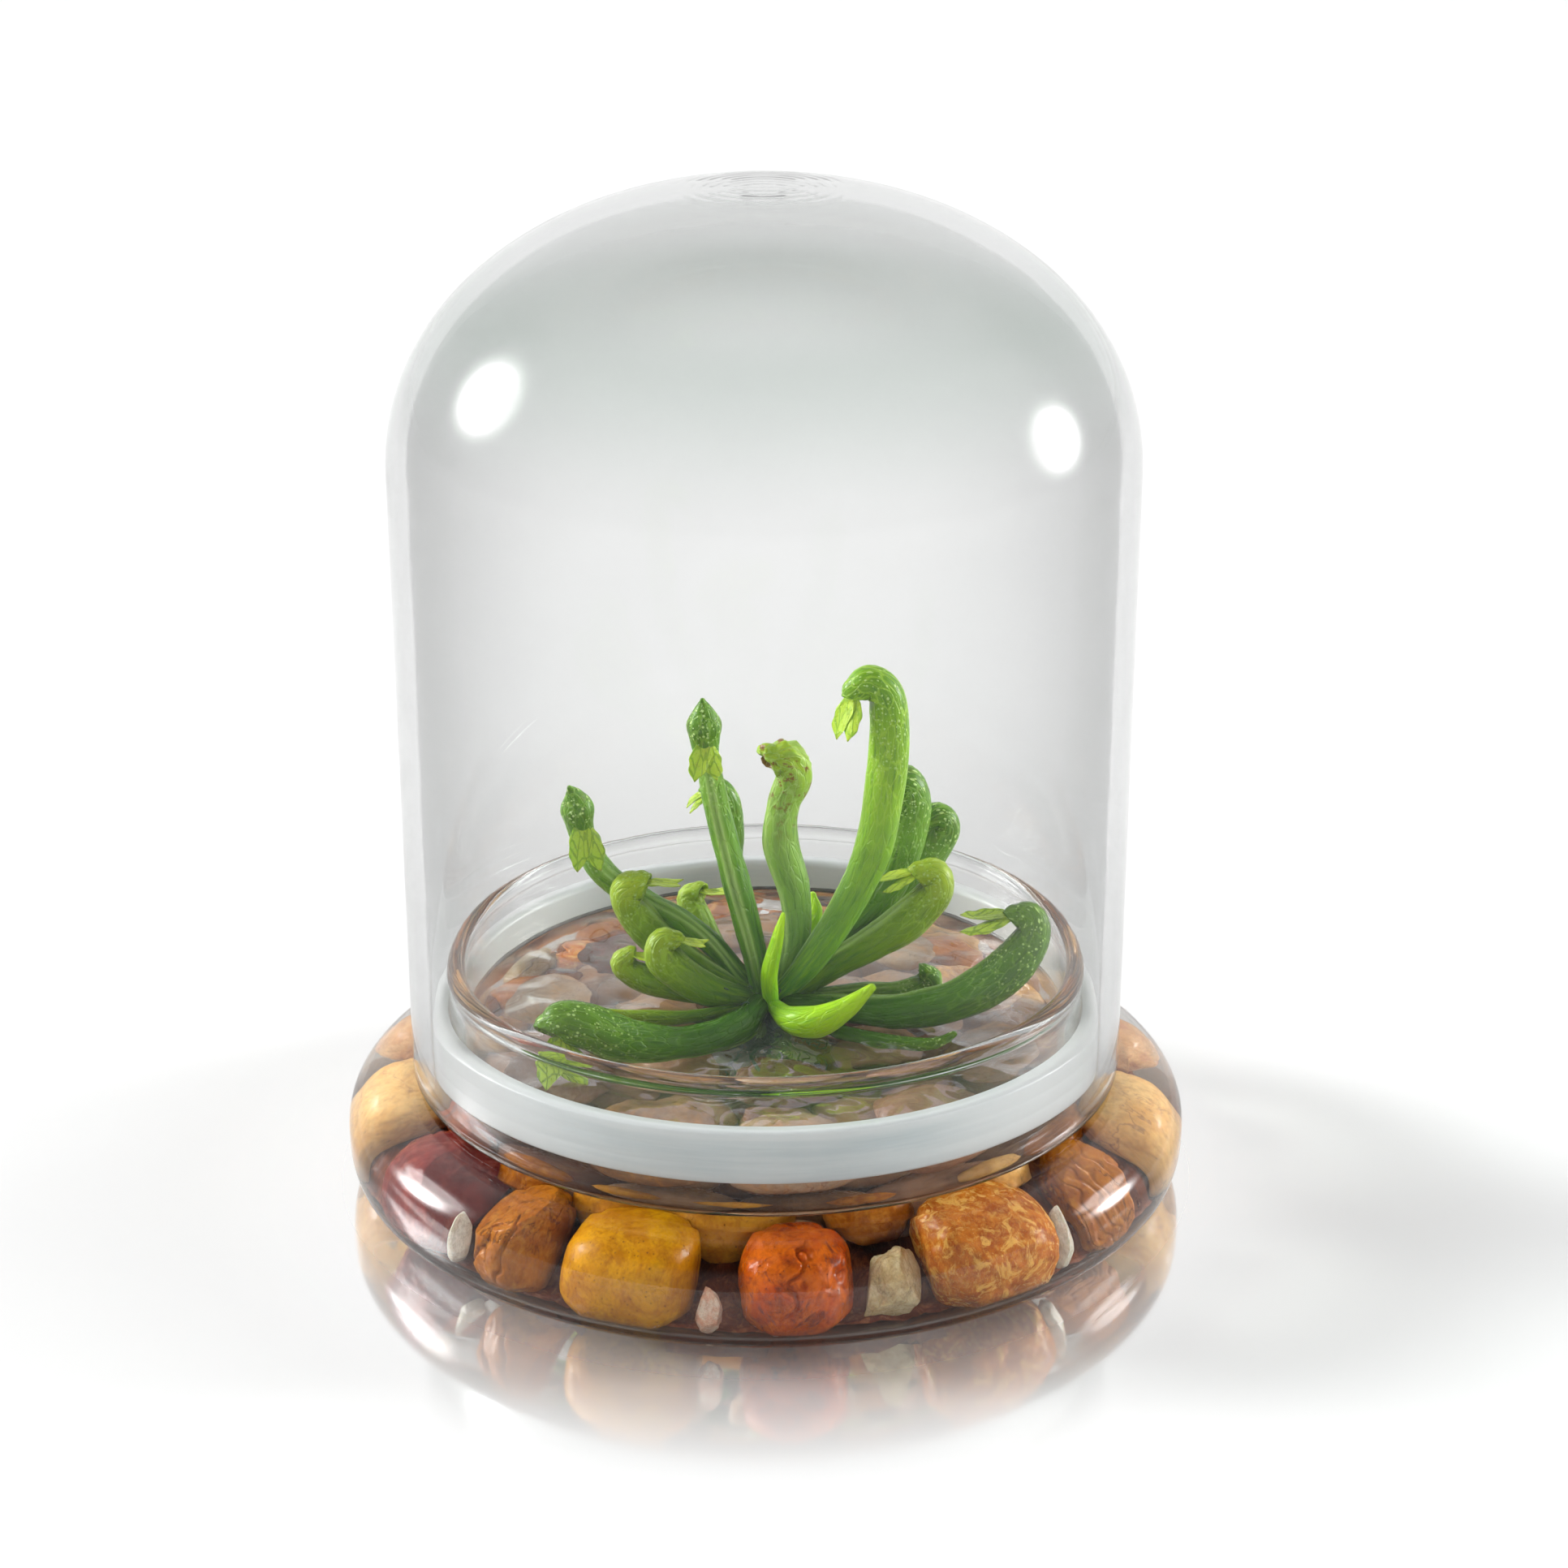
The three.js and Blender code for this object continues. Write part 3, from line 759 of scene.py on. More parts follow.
@dataclass(frozen=True)
class SiliconeFinish:
    """Milky silicone rubber with faint moulding streaks, and painted light on its sides and along its crown.
    """

    name: str = "MilkySilicone"
    pale: Colour = (0.76, 0.81, 0.825)
    blue: Colour = (0.64, 0.705, 0.73)
    bright: Colour = (0.95, 0.955, 0.955)  # painted light, at the sides and along the crown
    lit_side_zone: Tuple[float, float] = (18 * MM, 46 * MM)
    lit_crown_zone: Tuple[float, float] = (28.5 * MM, 30.7 * MM)

    def material(self, groups: Groups) -> Material:
        """Builds the material.

        Args:
            groups: the shared node groups.

        Returns:
            The material.
        """
        made = Surface(self.name)
        s = made.shade
        at = s.place()
        drawn = s.vector("MULTIPLY", at, (0.25, 0.25, 6.0))
        streak = s.noise(drawn, 160, 4, 0.65)
        relief = s.group(groups.relief, Vector=at, Broad=90.0, Fine=900.0, Fine_Share=0.25)
        colour = s.mix(s.span(streak, 0.3, 0.7), self.blue, self.pale)
        parts = s.apart(at)
        # Painted light: the sides and the crown turn lighter, where the lamps fall on the ring.
        sides = s.span(s.math("ABSOLUTE", parts[0]), *self.lit_side_zone)
        crown = s.span(parts[2], *self.lit_crown_zone, 0.0, 0.5)
        colour = s.mix(s.math("MAXIMUM", sides, crown), colour, self.bright)
        made.set(
            Base_Color=s.mix(s.span(relief, 0.35, 0.8, 0.0, 0.25), colour, (0.9, 0.92, 0.93)),
            Roughness=s.span(streak, 0.2, 0.8, 0.28, 0.42),
            Subsurface_Weight=0.4, Subsurface_Scale=0.004, Subsurface_Radius=(1.0, 1.0, 1.0), IOR=1.42,
            Transmission_Weight=0.3, Coat_Weight=0.25, Coat_Roughness=0.15,
        )
        made.bump(s.plus(streak, relief), 0.03 * MM)
        return made.material


@dataclass(frozen=True)
class PebbleFinish:
    """A polished river pebble."""

    name: str
    slot: str
    main: Colour
    second: Colour
    patch: Colour
    vein: Colour
    scale: float = 110.0
    patches: float = 0.4
    veins: float = 0.5
    pits: float = 0.4
    glow: float = 0.12
    relief: float = 0.2 * MM
    shift: Tuple[float, float, float] = (0.0, 0.0, 0.0)

    def material(self, groups: Groups) -> Material:
        """Builds the material.

        Args:
            groups: the shared node groups.

        Returns:
            The material.
        """
        made = Surface(self.name)
        s = made.shade
        figure = s.group(
            groups.stone, Vector=s.vector("ADD", s.place(), self.shift), Main=self.main, Second=self.second,
            Patch=self.patch, Vein=self.vein, Scale=self.scale, Patch_Amount=self.patches,
            Vein_Amount=self.veins, Pit_Amount=self.pits,
        )
        made.set(
            Base_Color=figure.outputs["Color"],
            Roughness=s.span(figure.outputs["Dull"], 0.1, 0.9, 0.22, 0.42),
            Subsurface_Weight=self.glow, Subsurface_Scale=0.003, Subsurface_Radius=(1.0, 0.45, 0.2),
            Specular_IOR_Level=0.22,
        )
        made.bump(figure.outputs["Height"], self.relief)
        return made.material


OCHRE = PebbleFinish(
    "OchreStone", "ochre_pebble", (0.64, 0.29, 0.002), (0.48, 0.18, 0.001), (0.30, 0.085, 0.002),
    (0.22, 0.06, 0.003), scale=150, patches=0.3, veins=0.35, pits=0.9, glow=0.12,
)
ORANGE = PebbleFinish(
    "OrangeRedStone", "orange_pebble", (0.58, 0.115, 0.002), (0.40, 0.050, 0.001), (0.11, 0.010, 0.002),
    (0.05, 0.01, 0.008), scale=150, patches=0.5, veins=0.4, pits=0.8, glow=0.1,
)
MOTTLED = PebbleFinish(
    "MottledStone", "mottled_pebble", (0.54, 0.155, 0.012), (0.34, 0.070, 0.004), (0.74, 0.40, 0.08),
    (0.13, 0.03, 0.008), scale=420, patches=0.6, veins=0.3, pits=0.8, relief=0.12 * MM, shift=(0.01, 0, 0),
)
BROWN = PebbleFinish(
    "BrownStone", "brown_pebble", (0.46, 0.145, 0.008), (0.30, 0.08, 0.005), (0.60, 0.25, 0.03),
    (0.05, 0.014, 0.008), scale=170, patches=0.3, veins=0.8, pits=0.6, shift=(0, 0.02, 0),
)
TAN = PebbleFinish(
    "TanStone", "tan_pebble", (0.88, 0.54, 0.20), (0.78, 0.41, 0.11), (0.62, 0.28, 0.07), (0.16, 0.045, 0.05),
    scale=70, patches=0.2, veins=0.55, pits=0.45, relief=0.08 * MM,
)
BURGUNDY = PebbleFinish(
    "BurgundyStone", "burgundy_pebble", (0.21, 0.022, 0.020), (0.12, 0.012, 0.012), (0.38, 0.085, 0.06),
    (0.45, 0.2, 0.16), scale=120, patches=0.3, veins=0.35, pits=0.3,
)
CREAM = PebbleFinish(
    "CreamStone", "cream_pebble", (0.72, 0.58, 0.36), (0.60, 0.44, 0.22), (0.40, 0.25, 0.10),
    (0.20, 0.12, 0.06), scale=260, patches=0.35, veins=0.5, pits=0.3, glow=0.25,
)
BLUSH = PebbleFinish(
    "BlushChip", "cream_pebble", (0.70, 0.36, 0.24), (0.74, 0.58, 0.46), (0.52, 0.18, 0.09),
    (0.30, 0.1, 0.06), scale=300, patches=0.4, veins=0.3, pits=0.2, glow=0.25,
)
WHITE = PebbleFinish(
    "WhiteChip", "cream_pebble", (0.74, 0.70, 0.62), (0.62, 0.56, 0.46), (0.45, 0.36, 0.26),
    (0.25, 0.18, 0.12), scale=260, patches=0.3, veins=0.4, pits=0.3, glow=0.2,
)


RIVER_BROWN = replace(BROWN, name="RiverBrown", main=(0.44, 0.26, 0.15), second=(0.27, 0.14, 0.07), scale=90)
RIVER_TAN = replace(TAN, name="RiverTan", main=(0.56, 0.39, 0.26), second=(0.44, 0.28, 0.17), scale=80)
RIVER_RED = replace(
    ORANGE, name="RiverRed", main=(0.38, 0.20, 0.12), second=(0.27, 0.12, 0.07),
    patch=(0.5, 0.3, 0.2), scale=90,
)
RIVER_MOTTLED = replace(
    MOTTLED, name="RiverMottled", main=(0.50, 0.27, 0.15), second=(0.36, 0.17, 0.09), scale=110
)
RIVER_DARK = replace(BURGUNDY, name="RiverDark", main=(0.23, 0.11, 0.08), second=(0.16, 0.07, 0.05))


@dataclass(frozen=True)
class BedFinish:
    """The mixed browns of the hidden pebbles, one for each stone."""

    name: str = "BedStones"
    slot: str = "brown_pebble"

    def material(self, groups: Groups) -> Material:
        """Builds the material.

        Args:
            groups: the shared node groups.

        Returns:
            The material.
        """
        made = Surface(self.name)
        s = made.shade
        stone = s.stored("stone")
        main = s.ramp(
            stone,
            [(0.0, RIVER_BROWN.main), (0.25, RIVER_TAN.second), (0.45, RIVER_DARK.main),
             (0.62, RIVER_RED.main), (0.82, RIVER_BROWN.second)],
            "CONSTANT",
        )
        figure = s.group(
            groups.stone, Vector=s.place(), Main=main, Second=s.mix(0.45, main, (0.12, 0.04, 0.015)),
            Patch=s.mix(0.5, main, (0.5, 0.26, 0.09)), Vein=BROWN.vein, Scale=120.0, Patch_Amount=0.35,
            Vein_Amount=0.6, Pit_Amount=0.5,
        )
        made.set(
            Base_Color=figure.outputs["Color"],
            Roughness=s.span(figure.outputs["Dull"], 0.1, 0.9, 0.25, 0.45),
            Subsurface_Weight=0.08, Subsurface_Scale=0.003, Specular_IOR_Level=0.22,
        )
        made.bump(figure.outputs["Height"], 0.12 * MM)
        return made.material


@dataclass(frozen=True)
class RootFinish:
    """Dark blue-green, slightly hairy roots and rhizome."""

    name: str = "DarkRoot"
    slot: str = "rhizome_and_roots"

    def material(self, groups: Groups) -> Material:
        """Builds the material.

        Args:
            groups: the shared node groups.

        Returns:
            The material.
        """
        made = Surface(self.name)
        s = made.shade
        at = s.place()
        relief = s.group(groups.relief, Vector=at, Broad=420.0, Fine=2600.0, Fine_Share=0.5)
        tone = s.span(relief, 0.45, 1.0)
        made.set(
            Base_Color=s.mix(tone, (0.008, 0.022, 0.024), (0.035, 0.075, 0.055)),
            Roughness=s.span(tone, 0.0, 1.0, 0.4, 0.7), Coat_Weight=0.2, Coat_Roughness=0.3,
        )
        made.bump(relief, 0.2 * MM)
        return made.material


@dataclass(frozen=True)
class LeafFinish:
    """A living leaf, from its dark foot to its spotted hood."""

    name: str
    slot: str
    foot: Colour
    tube: Colour
    upper: Colour
    hood: Colour
    fin: Colour
    net: Colour = (0.26, 0.47, 0.06)
    pale: Colour = (0.55, 0.74, 0.24)
    brown: Colour = (0.20, 0.06, 0.012)
    spots: float = 0.75
    spot_size: float = 0.15
    rust: float = 0.0
    gloss: float = 0.3

    def material(self, groups: Groups) -> Material:
        """Builds the material.

        Args:
            groups: the shared node groups.

        Returns:
            The material.
        """
        made = Surface(self.name)
        s = made.shade
        lay = s.stored("lay", "Vector")
        along, hood, fin = s.stored("along"), s.stored("hood"), s.stored("fin")
        ridge, mouth = s.stored("ridge"), s.stored("mouth")
        veins = s.group(groups.veins, Vector=lay, Scale=850.0, Stretch=0.36)
        net, streak = veins.outputs["Net"], veins.outputs["Streak"]
        spots = s.group(groups.spots, Vector=lay, Scale=1050.0, Size=self.spot_size)
        colour = s.ramp(along, [(0.02, self.foot), (0.32, self.tube), (0.72, self.upper), (0.92, self.hood)])
        colour = s.mix(s.span(streak, 0.42, 0.66, 0.0, 0.5), colour, self.upper)
        dark = s.span(streak, 0.3, 0.46, 0.55, 0.0)
        colour = s.mix(dark, colour, self.foot)
        cloud = s.noise(s.place(), 130, 3)
        colour = s.mix(s.span(cloud, 0.4, 0.75, 0.0, 0.35), colour, self.foot)
        colour = s.mix(s.times(ridge, 0.55), colour, self.pale)
        high = s.span(along, 0.3, 0.8)
        colour = s.mix(s.times(s.times(net, high), 0.5), colour, self.net)
        window = s.times(spots.outputs["Spots"], s.times(hood, self.spots))
        colour = s.mix(window, colour, self.pale)
        blade = s.mix(s.times(net, 0.5), self.fin, self.tube)
        colour = s.mix(fin, colour, blade)
        tip = s.times(s.span(along, 0.93, 1.0), fin)
        rusty = s.span(s.noise(lay, 620, 3, 0.7), 0.55, 0.62)
        colour = s.mix(s.times(tip, 0.55), colour, self.brown)
        colour = s.mix(s.times(s.times(rusty, hood), self.rust), colour, self.brown)
        # Painted shade: darker deep inside the mouth.
        colour = s.mix(s.times(mouth, 0.85), colour, (0.02, 0.05, 0.008))
        height = s.less(s.times(streak, 0.6), s.times(net, 0.5))
        height = s.plus(height, s.times(window, 0.7))
        made.set(
            Base_Color=colour, Roughness=s.span(streak, 0.3, 0.7, self.gloss, self.gloss + 0.12),
            Subsurface_Weight=0.12, Subsurface_Scale=0.0012, Subsurface_Radius=(0.35, 1.0, 0.05), IOR=1.42,
            Specular_IOR_Level=0.3, Coat_Weight=0.1, Coat_Roughness=0.12,
        )
        made.bump(height, 0.16 * MM)
        return made.material


class LeafLook(Enum):
    """The finishes a leaf may have."""

    MATURE = LeafFinish(
        "MaturePitcher", "pitcher_green", (0.018, 0.075, 0.005), (0.075, 0.21, 0.008), (0.14, 0.32, 0.008),
        (0.075, 0.20, 0.002), (0.42, 0.58, 0.04), rust=0.12, spots=0.85,
    )
    TALL = LeafFinish(
        "TallPitcher", "pitcher_green", (0.045, 0.15, 0.015), (0.17, 0.38, 0.03), (0.27, 0.50, 0.01),
        (0.13, 0.30, 0.003), (0.45, 0.64, 0.04), net=(0.40, 0.62, 0.05),
    )
    BRIGHT = LeafFinish(
        "BrightPitcher", "pitcher_green", (0.03, 0.10, 0.006), (0.10, 0.22, 0.004), (0.20, 0.34, 0.004),
        (0.34, 0.46, 0.008), (0.52, 0.66, 0.05), net=(0.34, 0.52, 0.04), spots=0.5,
    )
    DARK = LeafFinish(
        "DarkPitcher", "pitcher_green", (0.014, 0.06, 0.002), (0.03, 0.11, 0.002), (0.06, 0.17, 0.002),
        (0.10, 0.22, 0.003), (0.42, 0.58, 0.04), net=(0.16, 0.33, 0.02), pale=(0.42, 0.62, 0.16), spots=1.0,
        spot_size=0.15, gloss=0.18,
    )
    RUFFLED = LeafFinish(
        "RuffledPitcher", "pitcher_green", (0.05, 0.16, 0.02), (0.20, 0.38, 0.07), (0.26, 0.44, 0.06),
        (0.32, 0.46, 0.012), (0.46, 0.62, 0.07), net=(0.40, 0.6, 0.15), spots=0.3, rust=0.9,
    )
    YOUNG = LeafFinish(
        "YoungLeaf", "young_leaf_green", (0.15, 0.40, 0.004), (0.30, 0.60, 0.002), (0.40, 0.72, 0.002),
        (0.48, 0.78, 0.01), (0.42, 0.75, 0.03), net=(0.5, 0.78, 0.03), spots=0.0,
    )


# ---- Turned glass, silicone and water ----


@dataclass
class GlassDome:
    """The lift-off dome: a straight wall, a rounded cap and a rounded foot."""

    foot_z: float = 18.4
    radius: float = 55.0
    wall: float = 3.0
    straight: float = 94.6
    cap_rise: float = 41.4
    cap_power: float = 2.08
    sides: int = 200
    ripple_reach: float = 14.0  # the moulding rings round the top
    ripple_pitch: float = 1.75
    ripple_height: float = 0.005
    calm_pole: float = 3.0

    def cap(self, radius: float, rise: float) -> Outline:
        """One face of the cap, from its side to its pole.

        Args:
            radius: the face's radius.
            rise: its height above the straight wall.

        Returns:
            Rows of radius and height.
        """
        base = self.foot_z + self.straight
        curve = super_quarter(0, base, radius, rise, self.cap_power, 72)
        rows = [row for row in curve if row[0] > self.ripple_reach + 2]
        for r in between(self.ripple_reach + 2, 0, 0.25):
            z = base + rise * (1 - (r / radius) ** self.cap_power) ** (1 / self.cap_power)
            fade = float(smooth_step(np.array([r]), self.ripple_reach, self.ripple_reach * 0.7)[0])
            fade *= float(smooth_step(np.array([r]), self.calm_pole, 2 * self.calm_pole)[0])
            wave = 1 + math.cos(2 * math.pi * r / self.ripple_pitch)
            rows.append((max(r, 0.0), z - self.ripple_height * fade * wave))
        return rows

    def build(self, groups: Groups) -> Piece:
        """Makes the dome.

        Args:
            groups: the shared node groups.

        Returns:
            The dome's piece.
        """
        inner = self.radius - self.wall
        edge = self.wall / 2
        foot = arc(inner + edge, self.foot_z + edge, edge, -1.0, 0.0, 18)
        walls = between(self.foot_z + edge + 2, self.foot_z + self.straight - 2, 4)
        profile = (
            self.cap(inner, self.cap_rise - self.wall)[::-1]
            + [(inner, z) for z in walls[::-1]]
            + foot
            + [(self.radius, z) for z in walls]
            + self.cap(self.radius, self.cap_rise)
        )
        piece = solid("dome_glass", *turned_points(profile, self.sides, False))
        piece.data.materials.append(DOME_GLASS.material(groups))
        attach(piece, DOME)
        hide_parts("glass_dome")
        return piece


@dataclass
class GlassBowl:
    """The low bowl: a swelling side, a ledge for the dome and an upright neck with a beaded rim."""

    radius: float = 65.3
    flat_radius: float = 40.5
    equator_z: float = 9.2
    cavity_equator_z: float = 9.6
    wall: float = 3.0
    floor: float = 1.8
    shoulder_wall: float = 2.0
    seat_z: float = 18.1
    seat_inner: float = 50.4
    seat_outer: float = 55.5
    shoulder_start: float = 50.0
    lower_power: float = 3.5
    shoulder_power: float = 2.4
    neck_radius: float = 48.94
    neck_wall: float = 2.2
    neck_flare: float = 1.5
    rim_z: float = 37.7
    bead: float = 1.4
    sides: int = 200

    def cavity(self, inset: float, top_z: float) -> Outline:
        """The inner wall, from the floor's centre up to a height in the neck.

        Args:
            inset: how far it is moved inwards.
            top_z: where it stops.

        Returns:
            Rows of radius and height.
        """
        side = self.radius - self.wall - inset
        floor_z = self.floor + inset
        roof_z = self.seat_z - self.shoulder_wall - inset
        neck = self.neck_radius - self.neck_wall - inset
        roof_radius = neck + self.neck_flare
        eq = self.cavity_equator_z
        flat, low = self.flat_radius, self.lower_power
        lower = super_quarter(flat, eq, side - flat, floor_z - eq, low, 26)
        upper = super_quarter(roof_radius, eq, side - roof_radius, roof_z - eq, self.shoulder_power, 22)
        flats = [(r, floor_z) for r in between(0, self.flat_radius - 4, 6)]
        bend = [
            (neck + 0.75, roof_z + 0.2), (neck + 0.4, roof_z + 0.5),
            (neck + 0.14, roof_z + 1), (neck, roof_z + 2),
        ]
        return flats + lower[::-1] + upper[1:] + bend + [(neck, z) for z in between(roof_z + 4, top_z, 2)]

    def hold(self, points: np.ndarray, clearance: float) -> np.ndarray:
        """Presses points that lie outside the cavity back to its wall.

        Args:
            points: rows of x, y, z.
            clearance: what is left between them and the wall.

        Returns:
            The pressed points.
        """
        held = points.copy()
        held[:, 2] = np.maximum(held[:, 2], self.floor + clearance)
        radius = np.hypot(held[:, 0], held[:, 1])
        side = self.radius - self.wall - clearance
        eq = self.cavity_equator_z
        up = np.clip((held[:, 2] - eq) / (self.seat_z - self.shoulder_wall - clearance - eq), 0, 0.999)
        down = np.clip((eq - held[:, 2]) / (eq - self.floor - clearance), 0, 0.999)
        roof = self.neck_radius - self.neck_wall + self.neck_flare
        flat, low = self.flat_radius, self.lower_power
        above = roof + (side - roof) * (1 - up ** self.shoulder_power) ** (1 / self.shoulder_power)
        below = flat + (side - flat) * (1 - down ** low) ** (1 / low)
        limit = np.where(held[:, 2] > eq, above, below)
        squeeze = np.where(radius > limit, limit / np.maximum(radius, 1e-6), 1)
        held[:, :2] *= squeeze[:, None]
        return held

    def build(self, groups: Groups) -> Piece:
        """Makes the bowl.

        Args:
            groups: the shared node groups.

        Returns:
            The bowl's piece.
        """
        flat, eq = self.flat_radius, self.equator_z
        lower = super_quarter(flat, eq, self.radius - flat, -eq, self.lower_power, 30)
        shoulder = [
            row for row in super_quarter(
                self.shoulder_start, self.equator_z, self.radius - self.shoulder_start,
                self.seat_z - self.equator_z, self.shoulder_power, 40)
            if row[0] > self.seat_outer + 0.5
        ]
        bead_z = self.rim_z - self.bead
        middle = self.neck_radius - self.neck_wall / 2
        foot = [
            (self.neck_radius + out, self.seat_z + up)
            for out, up in ((0.8, 0.15), (0.4, 0.5), (0.12, 1), (0, 1.8))
        ]
        profile = (
            [(r, 0.0) for r in between(0, self.flat_radius - 4, 6)]
            + lower[::-1]
            + shoulder[1:]
            + [(self.seat_outer, self.seat_z), (self.seat_inner, self.seat_z)]
            + foot
            + [(self.neck_radius, z) for z in between(self.seat_z + 3, bead_z - self.bead, 2)]
            + arc(middle, bead_z, self.bead, -0.2, 1.2, 24)
            + self.cavity(0, bead_z - self.bead)[::-1]
        )
        piece = solid("bowl_glass", *turned_points(profile, self.sides, False))
        piece.data.materials.append(BOWL_GLASS.material(groups))
        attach(piece, BASE)
        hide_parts("glass_bowl")
        return piece


@dataclass
class SealRing:
    """The milky ring between the neck and the dome, with rounded ribs."""

    inner: float = 49.24
    outer: float = 51.7
    bottom: float = 23.0
    top: float = 30.8
    ribs: int = 3
    rib_depth: float = 0.09
    sides: int = 160

    def build(self, groups: Groups) -> Piece:
        """Makes the ring.

        Args:
            groups: the shared node groups.

        Returns:
            The ring's piece.
        """
        heights = between(self.bottom, self.top, 0.22)
        pitch = (self.top - self.bottom) / self.ribs
        face = []
        for z in heights:
            wave = abs(math.sin(math.pi * (z - self.bottom) / pitch)) ** 0.35
            face.append((self.outer - self.rib_depth * (1 - wave), z))
        profile = [(self.inner, self.bottom)] + face + [(self.inner, self.top)]
        profile += [(self.inner, z) for z in between(self.top - 1, self.bottom + 1, 2)]
        piece = solid("seal_band", *turned_points(profile, self.sides, True))
        piece.data.materials.append(SiliconeFinish().material(groups))
        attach(piece, BASE)
        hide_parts("seal_ring")
        return piece


# ---- Stones ----


@dataclass
class Stone:
    """One pebble: a worn block whose place and size come from its CAD node."""

    node: str
    finish: PebbleFinish
    square: float = 2.3  # 2 is an ellipsoid
    lump: float = 0.07
    dent: float = 0.02
    facets: int = 0
    cracks: Tuple[Tuple[float, float, float, float], ...] = ()  # facing x, y, z, and depth in mm
    grooves: float = 0.0
    detail: int = 5
    seed: int = 1
    push: float = 0.0  # how far it is moved out towards the glass
    sink: float = 0.0
    swell: float = 1.0

    def frame(self) -> Tuple[np.ndarray, np.ndarray, np.ndarray]:
        """The node's centre, its three axes and its half sizes along them, in millimetres."""
        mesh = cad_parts[self.node].data
        points = np.zeros(len(mesh.vertices) * 3)
        mesh.vertices.foreach_get("co", points)
        points = np.unique(np.round(points.reshape(-1, 3) / MM, 3), axis=0)
        centre = points.mean(axis=0)
        spread, axes = np.linalg.eigh(np.cov((points - centre).T, bias=True))
        for k in range(3):
            axes[:, k] *= 1 if axes[np.argmax(np.abs(axes[:, k])), k] > 0 else -1
        return centre, axes, np.sqrt(3 * spread)

    def shape(self) -> Tuple[np.ndarray, Faces]:
        """The worn unit block.

        Returns:
            The corners and the faces.
        """
        ball = bmesh.new()
        bmesh.ops.create_icosphere(ball, subdivisions=self.detail, radius=1)
        points = np.array([v.co[:] for v in ball.verts])
        faces = [tuple(v.index for v in f.verts) for f in ball.faces]
        ball.free()
        size = (np.abs(points) ** self.square).sum(axis=1) ** (-1 / self.square)
        size *= 1 - self.lump * (0.5 + 0.4 * Relief(self.seed, 2.1).at(points))
        size *= 1 - self.dent * (0.5 + 0.5 * Relief(self.seed + 1, 0.7).at(points))
        size *= 1 - 0.15 * self.dent * Relief(self.seed + 2, 0.22).at(points)
        shaped = points * size[:, None]
        draw = np.random.default_rng(self.seed)
        for _ in range(self.facets):
            way = unit(draw.normal(size=3))
            over = np.maximum(shaped @ way - draw.uniform(0.45, 0.8), 0)
            shaped -= 0.92 * over[:, None] * way
        return shaped, faces

    def carve(self, points: np.ndarray, centre: np.ndarray) -> np.ndarray:
        """Cuts cracks and grooves into the placed stone.

        Args:
            points: the placed corners.
            centre: the stone's centre.

        Returns:
            The carved corners.
        """
        out = points - centre
        reach = np.linalg.norm(out, axis=1)
        way = out / reach[:, None]
        wander = Relief(self.seed + 5, 3.4).at(points)
        for i, (x, y, z, depth) in enumerate(self.cracks):
            facing = unit(np.array([x, y, z]))
            across = unit(np.cross(facing, (0.35 + 0.5 * i, 0.1, 1.0 - 0.6 * i)))
            off = out @ across - 0.55 * wander
            near = smooth_step(way @ facing, 0.55, 0.85)
            reach -= depth * near * np.exp(-((off / 0.3) ** 2))
        if self.grooves:
            turn = out @ np.array([0.75, 0.35, 0.55]) + 0.5 * wander
            reach -= self.grooves * np.maximum(0, np.sin(turn * 3.1)) ** 3
        return centre + way * reach[:, None]

    def build(self, groups: Groups, bowl: GlassBowl) -> Piece:
        """Makes the stone.

        Args:
            groups: the shared node groups.
            bowl: the bowl that it lies in.

        Returns:
            The stone's piece.
        """
        centre, axes, half = self.frame()
        centre[:2] *= 1 + self.push / max(np.hypot(*centre[:2]), 1)
        centre[2] -= self.sink
        half = half * self.swell
        points, faces = self.shape()
        placed = self.carve(centre + (points * half) @ axes.T, centre)
        piece = solid("stone_" + self.node, bowl.hold(placed, 0.16), faces)
        groups.dress(piece, self.finish)
        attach(piece, BASE)
        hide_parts(self.node)
        return piece


def settled(stone: Stone) -> Stone:
    """The same stone, a little larger, and pushed down and out against the glass."""
    return replace(stone, square=stone.square + 0.05, push=1.3, sink=0.8, swell=1.05)


